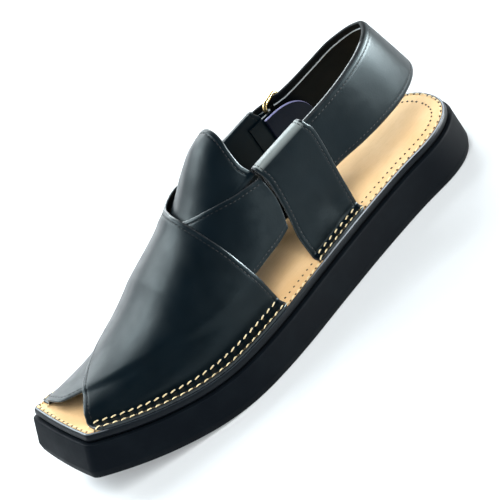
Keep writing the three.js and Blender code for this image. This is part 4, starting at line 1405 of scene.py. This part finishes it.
@dataclass
class SideTab:
    """A side tab: flange, wall, fold at the top and the lining inside."""

    shop: Workshop
    name: str
    side: Side
    height: float
    gap: float
    corner: float = 3.0
    lean: float = 1.2
    hollow: float = 0.5
    wall: float = 1.6
    fall: float = 2.0
    top_place: float = 28.4
    bulge: float = 0.6
    flange: float = 8.5
    lining: float = 34.0
    square: float = 0.6
    seam: Seam = FINE_SEAM
    seam_inset: float = 2.4
    groove: Pair = (0.16, 0.55)
    edge: Pair = (0.22, 0.8)

    @property
    def holds_strap(self) -> bool:
        """Whether the strap runs through the fold."""
        return self.gap > 2

    def stand(self, x: Array, share: Array) -> Array:
        """Inner face of the wall: from its foot on the sole in to the top, slightly bulged."""
        last = self.shop.last
        base = last.half_width(x, self.side.value) - last.band_inset - last.flange_margin - self.flange
        return base + (self.top_place - base) * share + self.bulge * np.sin(np.pi * share)

    def stops(self) -> tuple[Array, Array, Array, Array, Array]:
        """The sheet's path.

        Returns:
            For each stop the kind of stretch, the share of it, the way out and the way up of the
            sheet's thickness, and the angle turned on foot and fold.
        """
        places = {
            Stretch.FLANGE: 1 - clustered(8, 9, 0.5, 2)[:-1],
            Stretch.FOOT: np.linspace(1, 0.08, 9),
            Stretch.WALL: np.linspace(0, 1, 56),
            Stretch.FOLD: np.linspace(0, 1, 18)[1:-1],
            Stretch.LINING: np.concatenate([np.linspace(0, 0.9, 26), [0.94, 0.97, 1.0]]),
        }
        kind = np.concatenate([np.full(len(shares), stretch) for stretch, shares in places.items()])
        share = np.concatenate(list(places.values()))
        foot, fold = kind == Stretch.FOOT, kind == Stretch.FOLD
        turn = np.where(foot, share * np.pi / 2, np.where(fold, share * np.pi, 0))
        power = np.where(fold, self.square, 1.0)
        cosine = np.sign(np.cos(turn)) * np.abs(np.cos(turn)) ** power
        ends = [kind == Stretch.FLANGE, kind == Stretch.LINING]
        out = np.select(ends, [0, -1], cosine)
        up = np.select(ends, [1, 0], np.abs(np.sin(turn)) ** power)
        return kind, share, out, up, turn

    def softness(self, kind: Array, share: Array, rise: Array, columns: Array) -> Array:
        """How far worn leather stands out from the straight wall: sag, waves, lean and hollow.

        Args:
            kind: stretch of each row, as a column.
            share: share of each row's stretch, as a column.
            rise: height of each row, as a column.
            columns: shares from the rear to the front edge.

        Returns:
            The distances, a grid.
        """
        wall = np.where(kind == Stretch.WALL, 1, 0)
        crumple = sum(height * bell(columns - place, width) for place, width, height in DENTS)
        sag = bell(share - 0.16, 0.12) * crumple
        waves = 0.25 * np.sin(7 * share + 2.5 * columns) * share * (1 - share) * 4
        hollow = self.hollow * np.sin(np.pi * np.clip(share / 0.55, 0, 1)) ** 2
        round_off = np.clip((rise - 0.82 * self.height) / 10.5, 0, 0.95)
        lean = self.lean * (1 - np.sqrt(1 - round_off**2))
        return wall * (sag + waves - hollow) - lean * min(self.gap / 4, 1)

    def build(self) -> None:
        """The path of the sheet swept from the tab's rear to its front edge."""
        last = self.shop.last
        r = last.foot_radius
        kind, share, way_out, way_up, turn = self.stops()
        fold = self.gap / 2
        shoulder = self.height - fold - self.wall
        stretches = [kind == stretch for stretch in list(Stretch)[:-1]]
        rise = np.select(
            stretches,
            [0 * share, r * (1 - np.sin(turn)), r + (shoulder - r) * share, shoulder + fold * way_up],
            shoulder - self.lining * share,
        )
        up = rise / self.height
        front = last.place(monotone(TAB_EDGES[:, 0], TAB_EDGES[:, 1], up))
        rear = last.place(monotone(TAB_EDGES[:, 0], TAB_EDGES[:, 2], up))
        edge = self.flange - r - self.corner
        reach = np.where(stretches[0], np.clip(share * (self.flange - r) - edge, 0, self.corner), 0)
        trim = self.corner - np.sqrt(self.corner**2 - reach**2)
        columns = clustered(38, 60)[None]
        x = (rear + trim)[:, None] * (1 - columns) + (front - trim)[:, None] * columns
        kind, share, turn, rise = (row[:, None] for row in (kind, share, turn, rise))
        way_out, way_up = way_out[:, None] + 0 * x, way_up[:, None] + 0 * x
        base = self.stand(x, 0 * x)
        out = np.select(
            [stretch[:, None] for stretch in stretches],
            [
                base + r + (self.flange - r) * share,
                base + r * (1 - np.cos(turn)),
                self.stand(x, share),
                self.top_place - fold + fold * way_out,
            ],
            self.top_place - self.gap + 0 * x,
        )
        out = out + self.softness(kind, share, rise, columns)
        z = last.bed(x) + last.gap - self.fall * up[:, None] * columns + rise
        sign = self.side.value
        inner = np.stack([x, sign * out, z], axis=-1)
        thick = np.stack([0 * x, sign * way_out, way_up], axis=-1)
        outer = inner + thick * self.wall
        distance = border(outer, "we")
        depth = pressed(distance, self.seam_inset, self.groove, self.edge)
        outer = outer - thick * depth[..., None]
        shell = leather(inner, outer, back=Zone.BACK)
        face = Finish.LEATHER
        if self.holds_strap:
            # The fold's top is painted pale as a highlight, the sheet's other edges keep the leather's own
            # tone
            face = Finish.FOLD
            below = shoulder - rise + np.where(kind == Stretch.LINING, 20, 0) + 0 * x
            rubbed_and_sheen = smooth_step((0.6 - below) / 2.3) * smooth_step((distance - 0.7) / 0.6)
            shell.edge[:rubbed_and_sheen.size] = rubbed_and_sheen.ravel()
            shell.edge[rubbed_and_sheen.size:] = 0
        finishes = [face, Finish.EDGE, Finish.LINING]
        self.shop.piece(self.name + "_leather", shell, finishes, nodes=(self.name,))
        self.sew(outer, unit(thick), (kind[:, 0] >= Stretch.FOOT).nonzero()[0][4:])

    def sew(self, outer: Array, normal: Array, rows: Array) -> None:
        """The fine seams along both side edges and above the lining's lower edge.

        Args:
            outer: grid of the outer face.
            normal: its normals.
            rows: numbers of the rows between which the side seams run.
        """
        sewn = []
        for side in "we":
            path, up = line_at(outer, normal, self.seam_inset, side)
            sewn.append(self.seam.sewn(path[rows], up[rows]))
        sewn.append(self.seam.sewn(outer[-5, 6:-6], normal[-5, 6:-6]))
        self.shop.piece(self.name + "_seams", Shell.joined(sewn), [Finish.BLACK])


@dataclass
class HeelStrap:
    """The strap round the heel with its buckle, chape and guard flap."""

    shop: Workshop
    tab: SideTab
    height: float = 56.0
    width: float = 34.0
    thickness: float = 3.2
    rod: float = 2.4
    behind: float = 5.2
    reach: float = 13.0
    lift: float = 5.6
    frame_height: float = 28.0
    corner: float = 3.5
    prong: float = 2.0
    prong_tip: float = 2.0
    guard_thickness: float = 1.5
    guard_length: float = 27.0
    guard_lap: float = 4.9
    guard_drop: float = 7.7
    guard_height: float = 34.0
    seam: Seam = Seam(2.7, 2.1, 0.25, 0.03)
    seam_inset: float = 2.6
    groove: Pair = (0.11, 0.6)
    edge: Pair = (0.25, 0.9)
    inner_edge: Pair = (0.2, 0.9)
    sheen_line: float = 3.4
    sheen_line_radius: float = 0.42
    swell: float = 0.8
    wave: float = 0.3
    wave_rate: float = 46.0

    @property
    def floor(self) -> float:
        """Height of the insole at the heel."""
        return float(self.shop.last.bed(-self.shop.last.length / 2))

    @property
    def bar_height(self) -> float:
        """Height of the buckle's middle: the middle of the strap's width there."""
        row = STRAP[BUCKLE_ROW]
        return self.floor + row[2] * self.height - row[3] * self.width / 2

    def faces(self, share: Array, up: Array, across: float, lift: Array = 0.0) -> Array:
        """Points of the strap: route, moved out by the thickness and in by the lean.

        Args:
            share: shares of the route.
            up: shares of the width from the bottom edge.
            across: share of the thickness, negative on the inner face.
            lift: extra distance outwards.

        Returns:
            The grid of points.
        """
        last = self.shop.last
        route = Curve(np.stack([last.place(STRAP[:, 0]), STRAP[:, 1] * last.heel_width / 2], axis=1))
        ahead = route.tangent(share)
        outward = np.stack([ahead[:, 1], -ahead[:, 0]], axis=1)
        row = share * (len(STRAP) - 1)
        numbers = np.arange(len(STRAP), dtype=float)
        top, width, lean = (monotone(numbers, STRAP[:, k], row) for k in (2, 3, 4))
        lean = lean[:, None] * self.width * up[None]
        offset = across * self.thickness - lean + lift
        plan = route.at(share)[:, None] + outward[:, None] * offset[..., None]
        z = self.floor + (top * self.height)[:, None] - (width * self.width)[:, None] * (1 - up)[None]
        return np.concatenate([plan, z[..., None]], axis=-1)

    def strap(self) -> None:
        """The strap: a grid along its route, padded between the seams of its edges."""
        share, up = np.linspace(0, 1, 330), clustered(34, 34, 0.5, 4.0)
        arch = np.sin(np.pi * up)[None]
        swell = self.swell * arch**0.5 + 0 * share[:, None]
        sway = self.wave * np.sin(self.wave_rate * share) * smooth_step((share - 0.12) * 8)
        wave = sway[:, None] * arch
        inner = self.faces(share, up, -0.5, wave)
        outer = self.faces(share, up, 0.5, swell + wave)
        normal = unit(outer - inner)
        depth = pressed(border(outer, "wes"), self.seam_inset, self.groove, self.edge)
        outer = outer - normal * depth[..., None]
        sunk, width = self.inner_edge
        inner = inner + normal * (sunk * bell(border(inner, "wes"), width))[..., None]
        shell = leather(inner, outer, 0.7, 6, Zone.BACK)
        # The rim keeps its inked edge only on the inner side of the foot
        centre = shell.points[shell.quads].mean(axis=1)
        shell.finish[(shell.finish == Zone.RIM) & (centre[:, 1] < 14)] = Zone.BACK
        finishes = [Finish.LEATHER, Finish.EDGE, Finish.LINING]
        self.shop.piece("heel_strap_leather", shell, finishes, nodes=("heel_strap",))
        rows = []
        for side in "we":
            for face, facing in ((outer, normal), (inner, -normal)):
                path, way = line_at(face, facing, self.seam_inset, side)
                rows.append(self.seam.sewn(path[4:-4], way[4:-4]))
        self.shop.piece("heel_strap_seams", Shell.joined(rows), [Finish.BLACK])
        # A pale bar along the inner face under the top edge: a painted highlight line
        path, way = line_at(inner, -normal, self.sheen_line, "e")
        sheen_line = swept(path[2:236], way[2:236], self.sheen_line_radius, 8)
        sheen_line.edge[:] = 1
        self.shop.piece("heel_strap_binding", sheen_line, [Finish.LINE])

    def bars(self) -> tuple[Array, Array]:
        """Middles of the buckle's front and rear bars."""
        tab = self.tab
        depth = tab.wall + (tab.wall + tab.gap) / 2
        place = tab.top_place + tab.wall - depth
        share = (self.bar_height - self.floor) / tab.height
        rear = self.shop.last.place(monotone(TAB_EDGES[:, 0], TAB_EDGES[:, 2], np.array(share)))
        front = np.array([float(rear) - self.behind, -place, self.bar_height])
        return front, front + np.array([-self.reach, -self.lift, 0])

    def buckle(self) -> None:
        """The frame: a rounded rectangle of round bar. The prong: a hook and a straight arm."""
        front, rear = self.bars()
        up = np.array([0.0, 0.0, 1.0])
        back = unit(rear - front)
        out = unit(np.cross(up, back))
        length = float(np.linalg.norm(rear - front))
        half = self.frame_height / 2 - self.corner
        stops = []
        near, far = self.corner, length - self.corner
        for place, side, start in ((far, half, 0), (near, half, 90), (near, -half, 180), (far, -half, 270)):
            turn = np.radians(start + np.linspace(0, 90, 8))
            arc = self.corner * np.stack([np.cos(turn), np.sin(turn)], axis=1)
            stops.append(arc + (place, side))
        plane = np.concatenate(stops)
        path = front + plane[:, :1] * back + plane[:, 1:] * up
        frame = swept(path, out, self.rod / 2, 16, loop=True)
        self.shop.piece("buckle_frame_brass", frame, [Finish.BRASS], "buckle_brass", ("buckle_frame",), 60)
        hook = self.rod / 2 + self.shop.last.gap + self.prong / 2
        turn = np.radians(np.linspace(215, 0, 14))
        curl = np.stack([-hook * np.sin(turn), hook * np.cos(turn)], axis=1)
        arm = np.linspace(0.15, 1, 12) * (length + self.prong_tip)
        plane = np.concatenate([curl, np.stack([arm, hook + 0 * arm], axis=1)])
        path = front + plane[:, :1] * back + plane[:, 1:] * out
        size = self.prong / 2 * np.concatenate([np.full(len(plane) - 3, 1.0), [0.95, 0.8, 0.5]])
        prong = swept(path, up, size, 12)
        self.shop.piece("buckle_prong_brass", prong, [Finish.BRASS], "buckle_brass", ("buckle_prong",), 60)

    def guard(self) -> None:
        """The flap inside the buckle: a flat sheet whose height falls off to a rounded end."""
        front, _ = self.bars()
        start = front[0] + self.guard_lap
        share = (1 - (1 - np.linspace(0, 1, 60)) ** 1.6) * 0.9995
        place = -front[1] - self.rod / 2 - self.prong - 2 * self.shop.last.gap - self.guard_thickness
        half = self.guard_height / 2 * (1 - share**3) ** (1 / 2.2)
        level = 2 * clustered(34, 34, 0.5, 4) - 1
        x = (start - self.guard_length * share)[:, None] + 0 * level[None]
        z = self.bar_height - self.guard_drop + half[:, None] * level[None]
        inner = np.stack([x, -place + 0 * x, z], axis=-1)
        outer = inner + np.array([0, -self.guard_thickness, 0])
        shell = leather(inner, outer, 0.8, 6)
        centre = shell.points[shell.quads].mean(axis=1)
        shell.finish[centre[:, 0] > start - 0.05] = Zone.FACE
        finishes = [Finish.FLAP, Finish.PIPING]
        self.shop.piece("buckle_guard_leather", shell, finishes, nodes=("buckle_guard",))

    def build(self) -> None:
        """Makes the strap and everything on its buckle."""
        self.strap()
        self.buckle()
        self.guard()


@dataclass(frozen=True)
class Lamp:
    """A soft rectangular light, seen in reflections, in matte faces or both."""

    name: str
    place: Place
    aim: Place
    size: Pair
    power: float
    tint: Colour
    mirrored: bool = True
    lighting: bool = True

    def hang(self) -> None:
        """Adds the lamp to the scene, aimed."""
        data = bpy.data.lights.new(self.name, "AREA")
        data.shape = "RECTANGLE"
        data.size, data.size_y = self.size
        data.energy = self.power
        data.color = self.tint
        lamp = bpy.data.objects.new(self.name, data)
        bpy.context.scene.collection.objects.link(lamp)
        lamp.visible_glossy = self.mirrored
        lamp.visible_diffuse = self.lighting
        way = Vector(self.aim) - Vector(self.place)
        turn = way.to_track_quat("-Z", "Y").to_matrix().to_4x4()
        lamp.matrix_world = Matrix.Translation(Vector(self.place)) @ turn


LAMPS = (
    Lamp("fill", (0.3, 0.9, 1.2), (0, 0, 0), (1.1, 1.1), 34, (1.0, 0.99, 0.97), mirrored=False),
    Lamp("over_toe", (0.43, -0.83, 1.04), (0.02, 0, 0.05), (0.6, 0.8), 19, (0.92, 0.98, 1.0)),
    Lamp("far_side", (-0.36, -1.52, 0.26), (0, 0, 0.06), (2.0, 0.45), 11, (0.93, 0.97, 1.0)),
    Lamp("behind", (-0.42, -1.2, 0.82), (-0.03, 0, 0.05), (1.0, 0.3), 18, (0.92, 0.98, 1.0)),
    Lamp("toe_side", (1.25, -0.5, 0.16), (0.1, 0, 0.05), (0.6, 0.26), 4, (0.93, 0.97, 1.0)),
    Lamp(
        "heel_side", (-1.32, 0.48, 0.2), (-0.08, 0, 0.06), (0.9, 0.36), 84, (0.93, 0.98, 1.0),
        lighting=False,
    ),
)


@dataclass
class Studio:
    """Pale floor, soft lights and the camera."""

    place: Place = (0.3790, 1.1847, 0.7190)
    right: Place = (-0.67508, 0.55181, -0.4898)
    down: Place = (0.67605, 0.19694, -0.7100)
    ahead: Place = (-0.29527, -0.81045, -0.5060)
    picture: float = 500.0
    focal: float = 1767.7
    middle: Pair = (174.5, 238.5)
    zoom: float = 1.5
    floor_reach: float = 6.0
    floor_drop: float = 0.0002
    floor_end: Pair = (0.38, 0.65)
    floor_pale: Colour = (0.44, 0.47, 0.49)
    floor_dark: Colour = (0.03, 0.032, 0.034)
    floor_glow: float = 0.3
    room_tint: Colour = (0.9, 0.97, 1.0)
    room_across: tuple[float, float, float, float] = (-0.7, 0.4, 0.95, 0.22)
    room_upwards: tuple[float, float, float, float] = (0.5, 0.85, 1.0, 0.06)

    def camera(self) -> None:
        """Aims the camera at the shoe's middle in the picture and keeps the picture's roll."""
        right, down, ahead = (np.array(v) for v in (self.right, self.down, self.ahead))
        aside, below = ((m - self.picture / 2) / self.focal for m in self.middle)
        forward = unit(right * aside + down * below + ahead)
        level = unit(right - forward * (right @ forward))
        under = np.cross(forward, level)
        data = bpy.data.cameras.new("photo_view")
        data.sensor_width = 36.0
        data.lens = self.focal * data.sensor_width / self.picture * self.zoom
        data.clip_start, data.clip_end = 0.01, 50
        camera = bpy.data.objects.new("photo_view", data)
        bpy.context.scene.collection.objects.link(camera)
        axes = Matrix([level, -under, -forward]).transposed().to_4x4()
        camera.matrix_world = Matrix.Translation(Vector(self.place)) @ axes
        bpy.context.scene.camera = camera

    def floor(self) -> None:
        """A wide plain floor under the sole, pale in the picture and dark beyond the inner side."""
        mesh = bpy.data.meshes.new("floor")
        reach = self.floor_reach
        square = [(-reach, -reach, 0), (reach, -reach, 0), (reach, reach, 0), (-reach, reach, 0)]
        mesh.from_pydata(square, [], [(0, 1, 2, 3)])
        surface = Surface("pale_floor")
        across = surface.add("ShaderNodeSeparateXYZ", Vector=surface.place).outputs["Y"]
        near = surface.ramp(across, *self.floor_end, 0, 1)
        surface.link(surface.mix(near, self.floor_pale, self.floor_dark), "Base Color")
        surface.link(surface.ramp(across, *self.floor_end, self.floor_glow, 0), "Emission Strength")
        surface.fix(Roughness=0.6, Emission_Color=(0.95, 0.98, 1.0, 1))
        mesh.materials.append(surface.material)
        floor = bpy.data.objects.new("floor", mesh)
        floor.location.z = -self.floor_drop
        bpy.context.scene.collection.objects.link(floor)

    def world(self) -> None:
        """A room that is pale beyond the shoe's outer side and dim overhead and on the inner side."""
        world = bpy.data.worlds.new("room")
        world.use_nodes = True
        nodes, links = world.node_tree.nodes, world.node_tree.links
        place = nodes.new("ShaderNodeTexCoord")
        split = nodes.new("ShaderNodeSeparateXYZ")
        links.new(place.outputs["Generated"], split.inputs[0])
        parts = []
        for axis, limits in (("Y", self.room_across), ("Z", self.room_upwards)):
            ramp = nodes.new("ShaderNodeMapRange")
            ramp.interpolation_type = "SMOOTHSTEP"
            links.new(split.outputs[axis], ramp.inputs["Value"])
            for name, number in zip(("From Min", "From Max", "To Min", "To Max"), limits):
                ramp.inputs[name].default_value = number
            parts.append(ramp.outputs["Result"])
        both = nodes.new("ShaderNodeMath")
        both.operation = "MULTIPLY"
        links.new(parts[0], both.inputs[0])
        links.new(parts[1], both.inputs[1])
        background = nodes["Background"]
        background.inputs["Color"].default_value = (*self.room_tint, 1)
        links.new(both.outputs[0], background.inputs["Strength"])
        bpy.context.scene.world = world

    def build(self) -> None:
        """Sets the room up."""
        self.camera()
        self.floor()
        self.world()
        for lamp in LAMPS:
            lamp.hang()
        bpy.context.scene.view_settings.view_transform = "Standard"


def corners(bounds: tuple[Vector, Vector]) -> list[list[float]]:
    """The two corners of a box as plain lists."""
    return [[float(v) for v in corner] for corner in bounds]


def main() -> None:
    """Builds the shoe piece by piece round its solids, then the room."""
    logging.basicConfig(level=logging.INFO, format="%(name)s %(message)s")
    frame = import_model()
    shop = Workshop(Last())
    Studio().build()
    Sole(shop).build()
    Panel(shop, "lateral_panel", Side.LATERAL, LATERAL_REAR, LATERAL_FRONT, over=False).build(())
    Panel(shop, "medial_panel", Side.MEDIAL, MEDIAL_REAR, MEDIAL_FRONT, over=True).build(("upper",))
    Tongue(shop).build()
    SideTab(shop, "tab_medial", Side.MEDIAL, height=61.0, gap=4.0).build()
    tab = SideTab(shop, "tab_lateral", Side.LATERAL, height=55.5, gap=0.6)
    tab.build()
    HeelStrap(shop, tab).build()
    for slot in frame["nodes"]["buckle_chape"].material_slots:
        slot.material = Finish.LEATHER.made
    log.info("%d pieces", len(shop.pieces))


if __name__ == "__main__":
    main()
